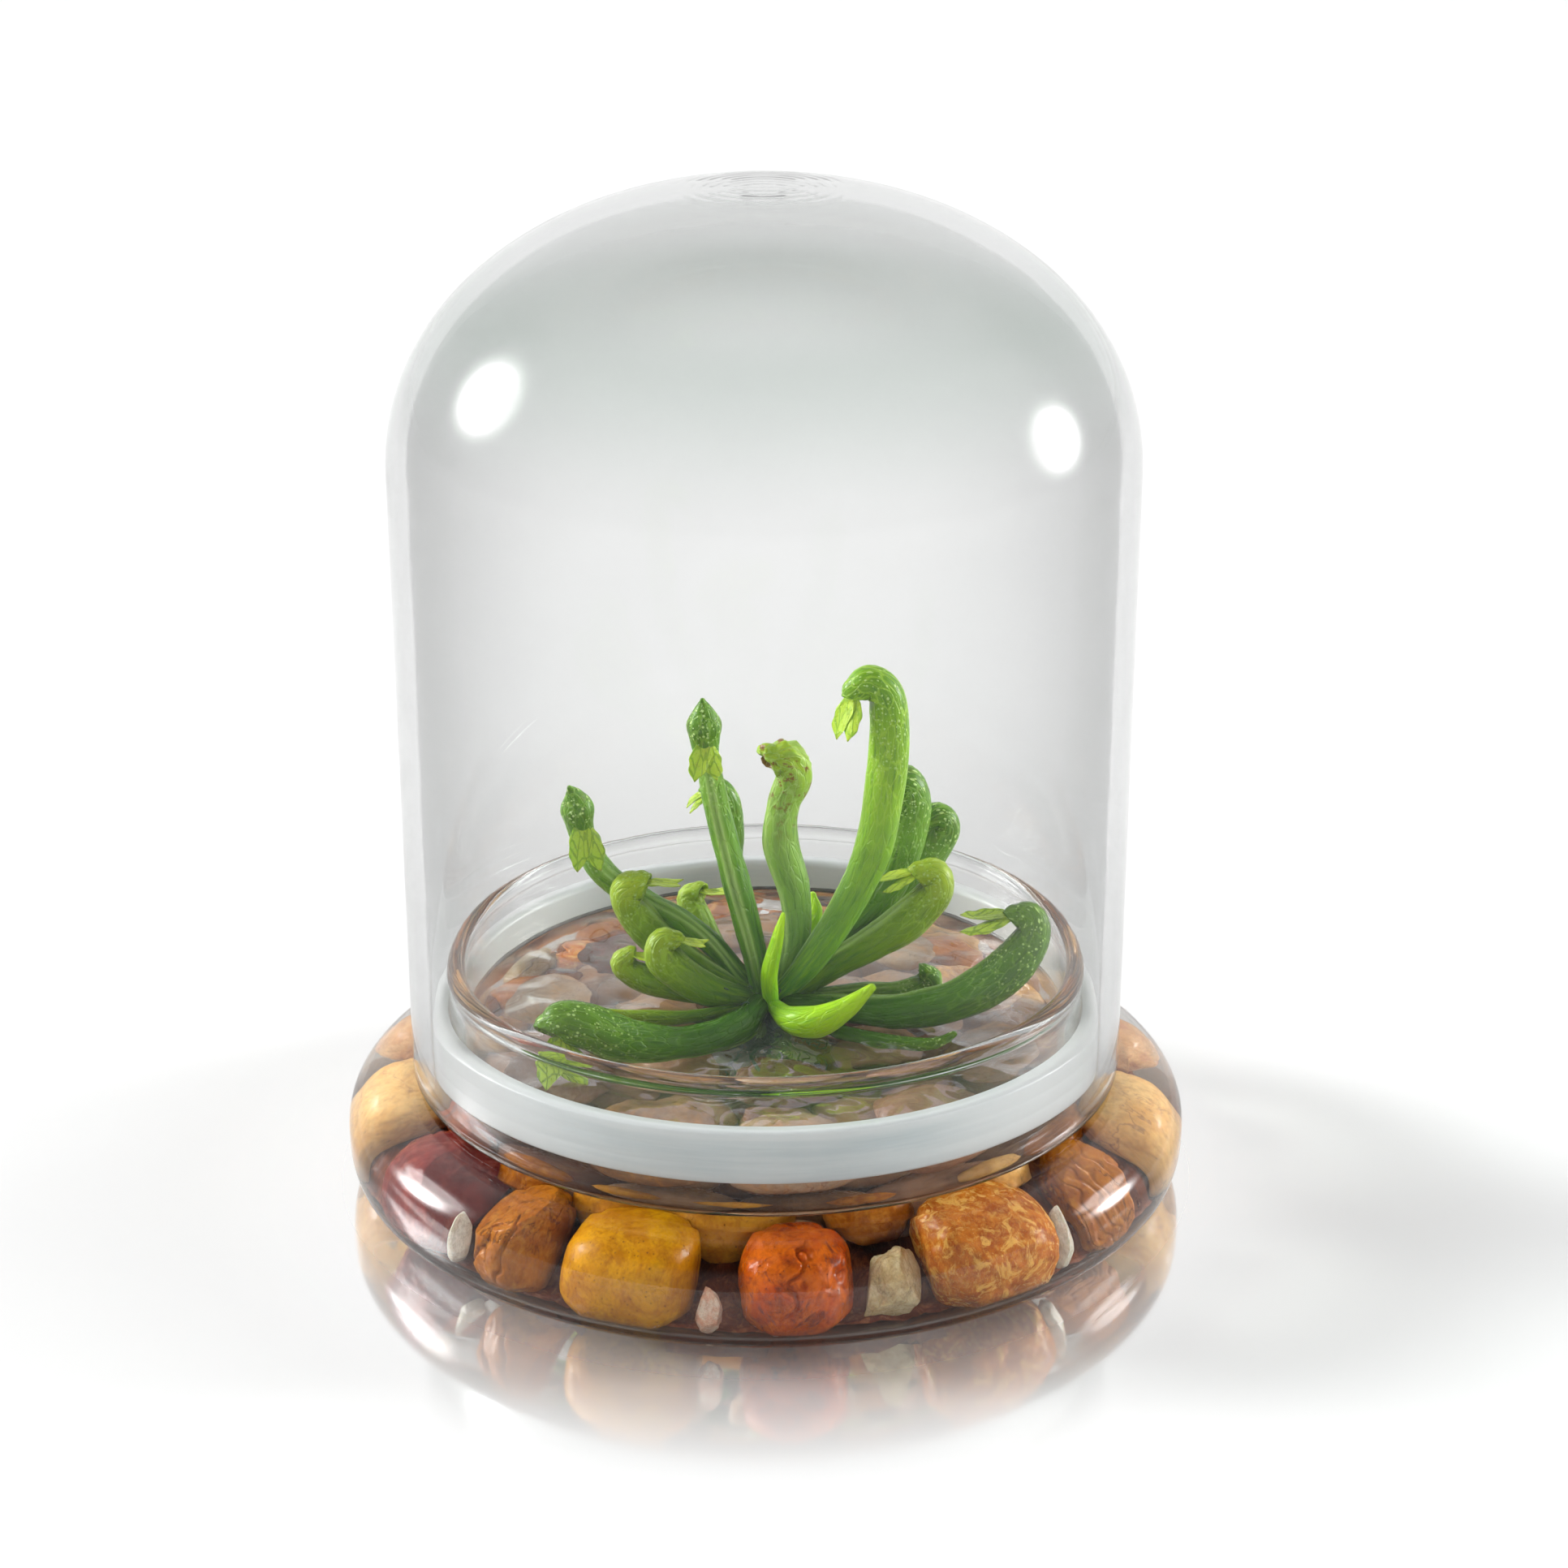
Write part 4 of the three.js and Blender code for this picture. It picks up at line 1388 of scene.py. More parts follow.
PALE_ORANGE = replace(
    ORANGE, name="PaleOrangeStone", main=(0.74, 0.44, 0.21), second=(0.62, 0.31, 0.12), patch=(0.5, 0.2, 0.08)
)
OUTER_STONES = [settled(stone) for stone in (
    Stone("outer_pebble_1", OCHRE, 2.5, 0.05, 0.012, detail=6, seed=11),
    Stone(
        "outer_pebble_2", ORANGE, 2.15, 0.06, 0.03, detail=6, seed=12,
        cracks=((0.05, -1, 0.55, 1.1), (0.5, -0.8, 0.2, 0.35)),
    ),
    Stone("outer_pebble_3", MOTTLED, 2.6, 0.05, 0.035, detail=6, seed=13),
    Stone("outer_pebble_4", BROWN, 2.4, 0.08, 0.03, facets=3, grooves=0.35, detail=6, seed=14),
    Stone("outer_pebble_5", TAN, 2.4, 0.06, 0.012, detail=6, seed=15),
    Stone("outer_pebble_6", PALE_ORANGE, 2.3, 0.08, 0.03, seed=16),
    Stone("outer_pebble_7", BROWN, 2.3, 0.08, 0.03, seed=17),
    Stone("outer_pebble_8", TAN, 2.4, 0.08, 0.02, seed=18),
    Stone("outer_pebble_9", OCHRE, 2.3, 0.07, 0.02, seed=19),
    Stone("outer_pebble_10", MOTTLED, 2.4, 0.08, 0.03, seed=20),
    Stone("outer_pebble_11", BROWN, 2.3, 0.08, 0.03, cracks=((-0.5, 0.8, 0.3, 0.6),), seed=21),
    Stone("outer_pebble_12", CREAM, 2.3, 0.08, 0.03, facets=3, seed=22),
    Stone("outer_pebble_13", PALE_ORANGE, 2.4, 0.08, 0.03, seed=23),
    Stone("outer_pebble_14", TAN, 2.5, 0.05, 0.015, detail=6, seed=24),
    Stone("outer_pebble_15", BURGUNDY, 2.4, 0.08, 0.03, facets=2, detail=6, seed=25),
    Stone(
        "outer_pebble_16", BROWN, 2.3, 0.09, 0.03, facets=2, detail=6, seed=26,
        cracks=((-0.4, -0.9, 0.3, 0.7), (-0.9, -0.5, 0.1, 0.6)),
    ),
)]

UPPER_LOOKS = [
    RIVER_BROWN, RIVER_TAN, RIVER_RED, RIVER_BROWN, RIVER_MOTTLED,
    RIVER_TAN, RIVER_BROWN, RIVER_DARK, RIVER_TAN, RIVER_RED,
]
UPPER_STONES = [
    Stone(f"upper_pebble_{i + 1}", look, 2.25, 0.1, 0.025, seed=40 + i) for i, look in enumerate(UPPER_LOOKS)
]

CHIP_STONES = [
    Stone("chip_1", BLUSH, 2.0, 0.25, 0.08, facets=7, seed=61, push=1.0, swell=1.25),
    Stone("chip_2", CREAM, 2.0, 0.3, 0.12, facets=9, seed=62, push=1.0, swell=1.4),
    Stone("chip_3", WHITE, 2.0, 0.2, 0.06, facets=8, seed=63, push=1.0, swell=1.2),
    Stone("chip_4", WHITE, 2.0, 0.2, 0.06, facets=9, seed=64, push=1.0, swell=1.2),
]

# Painted shade: the dark reddish brown seen in the gaps under the outer pebbles.
GAP_SHADE = replace(
    BURGUNDY, name="RedGapShade", slot="brown_pebble", main=(0.22, 0.055, 0.022), second=(0.13, 0.03, 0.014),
    patch=(0.40, 0.14, 0.05), scale=260, pits=0.8, relief=0.3 * MM,
)


@dataclass
class GapShadeBank:
    """A low reddish-brown bank under the outer pebbles: painted shade, tinted with the pebbles' painted
    reflected colour, that fills the gaps between them.
    """

    inner: float = 30.0
    outer: float = 58.0
    low: float = 2.1
    high: float = 4.9
    sides: int = 220

    def build(self, groups: Groups, bowl: GlassBowl) -> Piece:
        """Makes the bank.

        Args:
            groups: the shared node groups.
            bowl: the bowl that it lies in.

        Returns:
            The bank's piece.
        """
        spread = np.linspace(0, 1, 40)
        crest = self.low + 0.4 + (self.high - self.low - 0.4) * np.sin(math.pi * spread**0.8) ** 0.5
        top = [(self.outer - (self.outer - self.inner) * t, z) for t, z in zip(spread, crest)]
        under = [(r, self.low) for r in between(self.inner, self.outer, 1.4)]
        points, faces = turned_points(under + top, self.sides, True)
        raised = smooth_step(points[:, 2], self.low + 0.2, self.low + 1.4)
        points[:, 2] += raised * (0.4 * Relief(121, 5.0).at(points) + 0.18 * Relief(122, 1.6).at(points))
        piece = solid("bed_gap_shade", bowl.hold(points, 0.2), faces)
        piece.data.materials.append(GAP_SHADE.material(groups))
        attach(piece, BASE)
        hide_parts("pebble_bed")
        return piece


@dataclass
class FillStone:
    """One pebble wedged above and between the outer ones, as part of the bed."""

    finish: PebbleFinish
    angle: float  # from the front, towards the right
    across: float
    tall: float = 11.5
    radius: float = 44.5
    z: float = 9.6
    deep: float = 12.5

    def build(self, groups: Groups, bowl: GlassBowl, number: int) -> Piece:
        """Makes the stone.

        Args:
            groups: the shared node groups.
            bowl: the bowl that it lies in.
            number: its number in the bed.

        Returns:
            The stone's piece.
        """
        blank = Stone("", self.finish, 2.3, 0.08, 0.03, seed=200 + number)
        points, faces = blank.shape()
        turn = math.radians(self.angle - 90)
        out = np.array([math.cos(turn), math.sin(turn), 0])
        side = np.array([-math.sin(turn), math.cos(turn), 0])
        tip = math.radians(6 * math.sin(number * 2.1))
        up = np.array([0, 0, math.cos(tip)]) + side * math.sin(tip)
        half = np.array([self.deep, self.across, self.tall]) / 2
        placed = self.radius * out + np.array([0, 0, self.z]) + (points * half) @ np.vstack([out, side, up])
        piece = solid(f"bed_stone_{number}", bowl.hold(placed, 0.2), faces)
        groups.dress(piece, self.finish)
        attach(piece, BASE)
        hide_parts("pebble_bed")
        return piece


GOLD = replace(
    OCHRE, name="GoldStone", main=(0.60, 0.27, 0.02), second=(0.44, 0.17, 0.012),
    patch=(0.34, 0.11, 0.01), scale=120,
)

FILL_STONES = [
    FillStone(GOLD, -6.0, 19), FillStone(BROWN, 18.5, 14.5, z=10.4), FillStone(TAN, 46, 14),
    FillStone(BROWN, 67, 15), FillStone(MOTTLED, 91, 15), FillStone(TAN, 114, 14),
    FillStone(BROWN, 136, 15), FillStone(GOLD, 158, 14), FillStone(BROWN, 180, 15),
    FillStone(TAN, 201, 14), FillStone(MOTTLED, 222, 14), FillStone(BROWN, 243, 15),
    FillStone(TAN, 266, 14), FillStone(ORANGE, 290, 14), FillStone(BROWN, 313, 14),
    FillStone(GOLD, 333, 15),
]


@dataclass
class BedRing:
    """One ring of the hidden pebbles."""

    name: str
    count: int
    first: float
    radius: float
    height: float
    size: Tuple[float, float, float]  # through the ring, across it and tall
    seed: int


@dataclass
class PebbleBed:
    """The hidden inner pebbles: two rings on the floor and one above them."""

    rings: List[BedRing] = field(default_factory=lambda: [
        BedRing("bed_outer_ring", 12, 9, 35.8, 8.75, (18.6, 19.8, 11.4), 3),
        BedRing("bed_inner_ring", 6, 9, 17.6, 8.75, (19.0, 18.8, 11.4), 5),
        BedRing("bed_crown_ring", 6, 9, 18.4, 17.55, (13.2, 16.6, 8.2), 9),
        BedRing("bed_gap_ring", 14, 3, 27.6, 14.6, (10.5, 12.5, 7.6), 12),
        BedRing("bed_wall_ring", 16, 4, 43.2, 6.4, (9.0, 13.0, 6.8), 15),
    ])
    lump: float = 0.7
    lump_size: float = 9.0

    def tree(self) -> Tree:
        """The node tree that sets stones in a ring.

        Returns:
            The geometry node group.
        """
        made = GroupMaker("PebbleRing", {
            "Count": "Int", "Radius": "Float", "Height": "Float", "First Angle": "Float", "Size": "Vector",
            "Lump": "Float", "Lump Size": "Float", "Seed": "Int", "Material": "Material",
        }, {"Geometry": "Geometry"}, "GeometryNodeTree")
        s, given = made.shade, made.given
        ring = s.fed("GeometryNodeMeshCircle", {"Vertices": given["Count"], "Radius": given["Radius"]})
        lift = s.fed("ShaderNodeCombineXYZ", {2: given["Height"]})
        turn = s.fed("ShaderNodeCombineXYZ", {2: given["First Angle"]})
        moved = s.fed("GeometryNodeTransform", {
            "Geometry": ring, "Translation": lift, "Rotation": turn,
        })
        ball = s.fed("GeometryNodeMeshIcoSphere", {"Radius": 0.5, "Subdivisions": 4})
        away = s.vector("MULTIPLY", s.node("GeometryNodeInputPosition").outputs[0], (1, 1, 0))
        face = s.fed("FunctionNodeAlignRotationToVector", {"Vector": away}, axis="X")
        set_out = s.fed("GeometryNodeInstanceOnPoints", {
            "Points": moved, "Instance": ball, "Rotation": face,
            "Scale": given["Size"],
        })
        pick = s.fed("FunctionNodeRandomValue", {"Seed": given["Seed"]}, data_type="FLOAT")
        keep = s.fed("GeometryNodeStoreNamedAttribute", {
            "Name": "stone", "Geometry": set_out, "Value": pick.outputs[1],
        }, data_type="FLOAT", domain="INSTANCE")
        real = s.fed("GeometryNodeRealizeInstances", {0: keep})
        cloud = s.fed("ShaderNodeTexNoise", {
            "W": given["Seed"], "Scale": s.math("DIVIDE", 1.0, given["Lump Size"]), "Detail": 3,
        }, noise_dimensions="4D")
        normal = s.node("GeometryNodeInputNormal")
        worn = s.times(s.less(cloud.outputs["Fac"], 0.62), given["Lump"])
        push = s.fed("ShaderNodeVectorMath", {0: normal, "Scale": worn}, operation="SCALE")
        wear = s.fed("GeometryNodeSetPosition", {"Geometry": real, "Offset": push})
        smooth = s.fed("GeometryNodeSetShadeSmooth", {"Geometry": wear})
        dress = s.fed("GeometryNodeSetMaterial", {"Geometry": smooth, "Material": given["Material"]})
        made.out("Geometry", dress)
        return made.tree

    def build(self, groups: Groups) -> List[Piece]:
        """Makes the rings.

        Args:
            groups: the shared node groups.

        Returns:
            One piece for each ring.
        """
        tree = self.tree()
        look = BedFinish().material(groups)
        pieces = []
        for ring in self.rings:
            values = {
                "Count": ring.count, "Radius": ring.radius * MM, "Height": ring.height * MM,
                "First Angle": math.radians(ring.first - 90), "Size": [v * MM for v in ring.size],
                "Lump": self.lump * MM * 2, "Lump Size": self.lump_size * MM, "Seed": ring.seed,
                "Material": look,
            }
            piece = grown(ring.name, tree, values)
            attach(piece, BASE)
            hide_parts("pebble_bed")
            pieces.append(piece)
        return pieces


def grown(
    name: str, tree: Tree, values: Dict[str, object], start: Optional[bpy.types.Mesh] = None
) -> Piece:
    """Runs a geometry node tree and keeps its result as a plain mesh.

    Args:
        name: the new piece's name.
        tree: the tree.
        values: its inputs by name.
        start: the mesh that it starts from, if any.

    Returns:
        The piece.
    """
    holder = bpy.data.objects.new(name + "_holder", start or bpy.data.meshes.new(name + "_start"))
    bpy.context.scene.collection.objects.link(holder)
    modifier = holder.modifiers.new("Grow", "NODES")
    modifier.node_group = tree
    for item in tree.interface.items_tree:
        if item.item_type == "SOCKET" and item.in_out == "INPUT" and item.name in values:
            modifier[item.identifier] = values[item.name]
    ready = holder.evaluated_get(bpy.context.evaluated_depsgraph_get())
    mesh = bpy.data.meshes.new_from_object(ready)
    mesh.name = name
    bpy.data.objects.remove(holder)
    piece = bpy.data.objects.new(name, mesh)
    bpy.context.scene.collection.objects.link(piece)
    return piece


# ---- The plant ----


@dataclass
class LeafPlan:
    """One leaf: [x, y, z, half width] rows down its centre line, and its fishtail if it has one.

    A fishtail is where it leaves the hood, the way that it points, and its length.
    """

    name: str
    line: Rows
    fishtail: Optional[Tuple[Sequence[float], Sequence[float], float]] = None
    look: LeafLook = LeafLook.MATURE
    flat: float = 0.0
    ruffle: float = 0.0
    mouth: float = 0.5
    spread: float = 1.0


LEAVES = [
    LeafPlan("pitcher_tall_right", [
        [2.2, -0.5, 28.5, 1.7], [6.5, -1.5, 34, 2], [12.1, -1, 42.7, 2.3], [16.4, 0, 52, 2.5],
        [18.3, 1, 62, 2.8], [18.9, 2, 71, 3], [18, 2.4, 77, 3.1], [15.6, 2.2, 78.8, 2.8],
         [13.4, 1.8, 77.6, 2],
    ], ([13.2, 1.5, 77.2], [-0.25, -0.2, -1], 7.4), LeafLook.TALL, spread=0.7),
    LeafPlan("pitcher_behind_tall_right", [
        [4.5, 2, 28.5, 1.7], [11, 6, 34.5, 2.2], [18.1, 10, 40.5, 2.8], [22, 13, 49, 3.3],
        [22.8, 14, 55, 3.2], [21.4, 13.6, 58.4, 2.8], [18.8, 12.6, 58.2, 1.9],
    ], ([18.4, 12.4, 57.8], [-0.25, -0.2, -1], 6.4), spread=0.7),
    LeafPlan("pitcher_right", [
        [5, 4, 28, 1.6], [13, 9, 35, 2], [21, 13, 41, 2.5], [26.7, 16.5, 46, 2.7],
        [28.6, 17.5, 49.6, 2.7], [27.2, 17.2, 51.2, 2.4], [25, 16.5, 50.4, 1.8],
    ], ([25, 16.4, 50], [-0.5, -0.2, -0.9], 7)),
    LeafPlan("pitcher_low_right", [
        [4, 0, 28.6, 1.7], [9.5, 1.5, 32, 2.2], [16, 3, 35.3, 2.6], [22.5, 4.8, 39, 2.9],
        [26.4, 5.8, 43.4, 3], [26.2, 6, 46, 2.8], [23.8, 5.4, 46.6, 1.9],
    ], ([23.6, 5.3, 46.4], [-1, -0.15, -0.25], 6.6), LeafLook.BRIGHT),
    LeafPlan("pitcher_far_right", [
        [4, -2, 27.6, 1.8], [11, -5, 28.3, 2.2], [20, -8, 29, 2.6], [30, -9, 31.8, 3],
        [37, -8.5, 36.5, 3.2], [40.4, -7, 41.4, 3], [40, -6.4, 44, 2.7], [37.8, -6, 44.2, 1.8],
    ], ([37.6, -6, 44], [-1, -0.1, -0.05], 8.4), LeafLook.DARK),
    LeafPlan("pitcher_centre", [
        [2.5, 2, 28.5, 1.6], [4.8, 4.5, 35, 2], [4.6, 6, 43, 2.3], [2.4, 7, 51.5, 2.6],
        [3, 7.5, 57.5, 2.3], [4.4, 8, 61.5, 2.8], [3.4, 7.8, 64.4, 3], [0.8, 7, 65.2, 2],
    ], None, LeafLook.RUFFLED, ruffle=0.3, mouth=0.8),
    LeafPlan("pitcher_tall_left", [
        [-0.5, -0.5, 28.5, 1.7], [-1.8, 0, 36, 2], [-4.6, 1.5, 47, 2.2], [-7.3, 2.6, 58, 2.1],
        [-8.8, 3, 66, 1.9], [-9.2, 3, 69.5, 2.4], [-9.3, 2.9, 72, 2.8], [-9.4, 2.8, 74.2, 1.6],
        [-9.5, 2.7, 75.8, 0.4],
    ], ([-9.1, 1.4, 69.8], [0.02, -0.5, -0.9], 6.6), mouth=0.0),
    LeafPlan("pitcher_behind_tall_left", [
        [-1, 3, 28.3, 1.5], [-3, 7, 36, 1.8], [-5.2, 10, 44, 2.1], [-6, 11.5, 51, 2.5],
        [-6.4, 12, 55.6, 2.6], [-7.8, 11.8, 58, 2], [-9.2, 11.3, 58, 1.3],
    ], ([-9, 11.3, 58], [-0.8, -0.2, -0.6], 4.6)),
    LeafPlan("pitcher_far_left", [
        [-2.2, 1.5, 28.4, 1.6], [-9.4, 6, 35, 2], [-18.3, 9, 39.5, 2.2], [-25, 10, 44, 2.3],
        [-28.2, 10, 49, 2], [-29.2, 9.7, 53, 2.2], [-29.5, 9.3, 55.8, 2.8], [-29.9, 8.8, 58, 1.6],
        [-30.5, 8.2, 59.6, 0.4],
    ], ([-28.8, 8.4, 53.8], [0.2, -0.4, -0.9], 8), mouth=0.0),
    LeafPlan("pitcher_left", [
        [-2.8, 0.8, 28.2, 1.7], [-10.7, 4.2, 31, 2.1], [-17, 6.2, 35, 2.6], [-21, 6.8, 40, 2.9],
        [-21.4, 6.8, 43.2, 2.8], [-19.4, 6.3, 44.6, 1.9],
    ], ([-19.2, 6.2, 44.4], [1, -0.15, 0.05], 6.2), LeafLook.BRIGHT),
    LeafPlan("pitcher_low_left", [
        [-3, -1, 27.9, 1.7], [-9.2, -2, 30, 2.3], [-13.5, -2.2, 33, 2.6], [-16, -2.2, 36, 2.7],
        [-15.6, -2, 38.2, 2.3], [-13.8, -1.8, 38.4, 1.5],
    ], ([-13.8, -1.8, 38.3], [1, -0.1, -0.05], 5.4), LeafLook.BRIGHT),
    LeafPlan("pitcher_small_left", [
        [-4.4, 1.4, 27.2, 1.3], [-12.6, 1.8, 28, 1.7], [-19.5, 2, 30.2, 2.1], [-22.4, 2.2, 32.8, 2],
        [-21, 2, 34.4, 1.3],
    ], ([-21, 2, 34.2], [0.9, -0.3, 0.1], 4.6), LeafLook.BRIGHT),
    LeafPlan("pitcher_back_left", [
        [-3, 4, 28, 1.4], [-7.6, 10, 31, 1.9], [-11, 14.5, 35, 2.3], [-12.2, 16, 37.8, 2.2],
        [-10.6, 15.6, 39.4, 1.5],
    ], ([-10.6, 15.4, 39.2], [1, -0.2, 0.1], 5), LeafLook.BRIGHT),
    LeafPlan("pitcher_front_left", [
        [-1, -3, 27.8, 1.9], [-4, -9, 27.1, 2.4], [-10.5, -14.5, 27, 2.7], [-20, -18.5, 29.3, 3.1],
        [-26.5, -20.3, 32.6, 3.4], [-30.2, -20.9, 33.6, 3], [-32.2, -21.1, 33, 1.8],
    ], ([-30.6, -22.4, 32], [0.3, -0.6, -0.75], 8.6), LeafLook.DARK, spread=1.5),
    LeafPlan("young_leaf_front", [
        [1.5, -3.6, 27.8, 1.6], [4, -8.5, 28, 2.7], [7.5, -11, 28.8, 2.9], [12, -12, 31.5, 2],
         [16, -12, 35, 0.8],
    ], None, LeafLook.YOUNG, flat=0.25, mouth=0.0),
    LeafPlan("young_leaf_upright", [
        [0.8, -3.2, 28.6, 1.5], [0.6, -4.6, 34, 1.6], [1.8, -4.8, 39.6, 1.1], [2.7, -4.6, 43.8, 0.4],
    ], None, LeafLook.YOUNG, flat=0.3, mouth=0.0),
    LeafPlan("pitcher_small_right", [
        [5.4, 2, 26.9, 1.2], [15.4, 3, 27.3, 1.6], [22.6, 2.6, 27.8, 1.9], [25.8, 2.4, 29.8, 2],
         [24.6, 2, 31.4, 1.3],
    ]),
    LeafPlan("leaf_floating_right", [
        [3.6, -4, 26.8, 1.4], [12, -9.8, 26, 1.8], [19.5, -12.8, 25.8, 1.8], [25.5, -13.2, 26, 1.4],
        [28.5, -12.8, 27.6, 0.6],
    ], None, LeafLook.DARK, flat=0.3, mouth=0.0),
    LeafPlan("leaf_floating_left", [
        [-4.2, -2.2, 26.8, 1.2], [-12, -5.6, 26.9, 1.5], [-20, -7, 27.6, 1.4], [-25, -7.2, 28.6, 0.8],
    ], None, LeafLook.BRIGHT, flat=0.3, mouth=0.0),
    LeafPlan("young_leaf_back", [
        [2.4, 4.4, 28.3, 1.2], [5.6, 10, 32.5, 1.7], [7.6, 13, 36.6, 1.6], [7.4, 14.2, 39, 0.7],
    ], None, LeafLook.YOUNG, flat=0.3, mouth=0.0),
]

ROOTS = {
    "root_left": [[-3, -2.4, 23], [-8.6, -4.4, 24.4], [-15, -3.6, 24.6], [-19, -6, 24.5]],
    "root_front": [[0.6, -3.6, 22], [2, -9.6, 24.3], [-2, -15, 24.5], [-1, -21, 24.4]],
    "root_right": [[3.4, -1, 22.6], [9.6, -1.8, 24.4], [16.4, -4.6, 24.5], [22, -4, 24.4]],
}


class CentreLine:
    """A smooth line through rows of x, y, z and half width, read by distance along it."""

    def __init__(self, rows: Rows, per_span: int = 40) -> None:
        """Fits the line.

        Args:
            rows: the points that it passes through.
            per_span: samples from one point to the next.
        """
        given = np.array(rows, float)
        first = 2 * given[0] - given[1]
        last = 2 * given[-1] - given[-2]
        p = np.vstack([first, given, last])
        samples = []
        for i in range(1, len(p) - 2):
            gaps = [max(np.linalg.norm(p[i + k + 1, :3] - p[i + k, :3]) ** 0.5, 1e-4) for k in (-1, 0, 1)]
            leave = self.slope(p[i - 1], p[i], p[i + 1], gaps[0], gaps[1]) * gaps[1]
            reach = self.slope(p[i], p[i + 1], p[i + 2], gaps[1], gaps[2]) * gaps[1]
            leave[3], reach[3] = (p[i + 1, 3] - p[i - 1, 3]) / 2, (p[i + 2, 3] - p[i, 3]) / 2
            t = np.linspace(0, 1, per_span, endpoint=False)[:, None]
            samples.append(
                (2 * t**3 - 3 * t**2 + 1) * p[i] + (t**3 - 2 * t**2 + t) * leave
                + (3 * t**2 - 2 * t**3) * p[i + 1] + (t**3 - t**2) * reach
            )
        self.samples = np.vstack(samples + [given[-1:]])
        steps = np.linalg.norm(np.diff(self.samples[:, :3], axis=0), axis=1)
        self.distance = np.concatenate([[0], np.cumsum(steps)])
        self.length = float(self.distance[-1])

    @staticmethod
    def slope(a: np.ndarray, b: np.ndarray, c: np.ndarray, before: float, after: float) -> np.ndarray:
        """The line's slope at b between its neighbours a and c.

        Args:
            a: the point before.
            b: the point.
            c: the point after.
            before: the step from a to b.
            after: the step from b to c.

        Returns:
            The slope.
        """
        return (b - a) / before - (c - a) / (before + after) + (c - b) / after

    def at(self, share: np.ndarray) -> np.ndarray:
        """Rows of x, y, z and half width at shares of the length."""
        where = share * self.length
        return np.column_stack([np.interp(where, self.distance, self.samples[:, k]) for k in range(4)])


@dataclass
class Skin:
    """The corners, faces and stored values of part of a leaf."""

    points: np.ndarray
    faces: Faces
    along: np.ndarray
    hood: np.ndarray
    fin: np.ndarray
    ridge: np.ndarray
    mouth: np.ndarray
    lay: np.ndarray

    @staticmethod
    def joined(skins: Sequence["Skin"]) -> "Skin":
        """Several skins as one.

        Args:
            skins: the parts.

        Returns:
            One skin with all their faces.
        """
        faces: Faces = []
        start = 0
        for skin in skins:
            faces += [tuple(i + start for i in f) for f in skin.faces]
            start += len(skin.points)
        kept = ("along", "hood", "fin", "ridge", "mouth")
        stack = {key: np.concatenate([getattr(skin, key) for skin in skins]) for key in kept}
        lay = np.vstack([skin.lay for skin in skins])
        return Skin(np.vstack([skin.points for skin in skins]), faces, lay=lay, **stack)

    def piece(self, name: str) -> Piece:
        """Makes the piece with its stored values."""
        made = solid(name, self.points, self.faces)
        for key in ("along", "hood", "fin", "ridge", "mouth"):
            keep_values(made, key, getattr(self, key))
        keep_values(made, "lay", self.lay * MM)
        return made


def wrapped(rings: int, sides: int) -> Faces:
    """Faces over rings of corners, closed by a pole at each end.

    Args:
        rings: how many rings.
        sides: corners in each.

    Returns:
        The faces; the start pole is corner 0, and the end pole is the last.
    """
    faces: Faces = []
    end = 1 + rings * sides
    for i in range(sides):
        j = (i + 1) % sides
        faces.append((0, 1 + j, 1 + i))
        faces.append((end, end - sides + i, end - sides + j))
        for k in range(rings - 1):
            a, b = 1 + k * sides, 1 + (k + 1) * sides
            faces.append((a + i, a + j, b + j, b + i))
    return faces


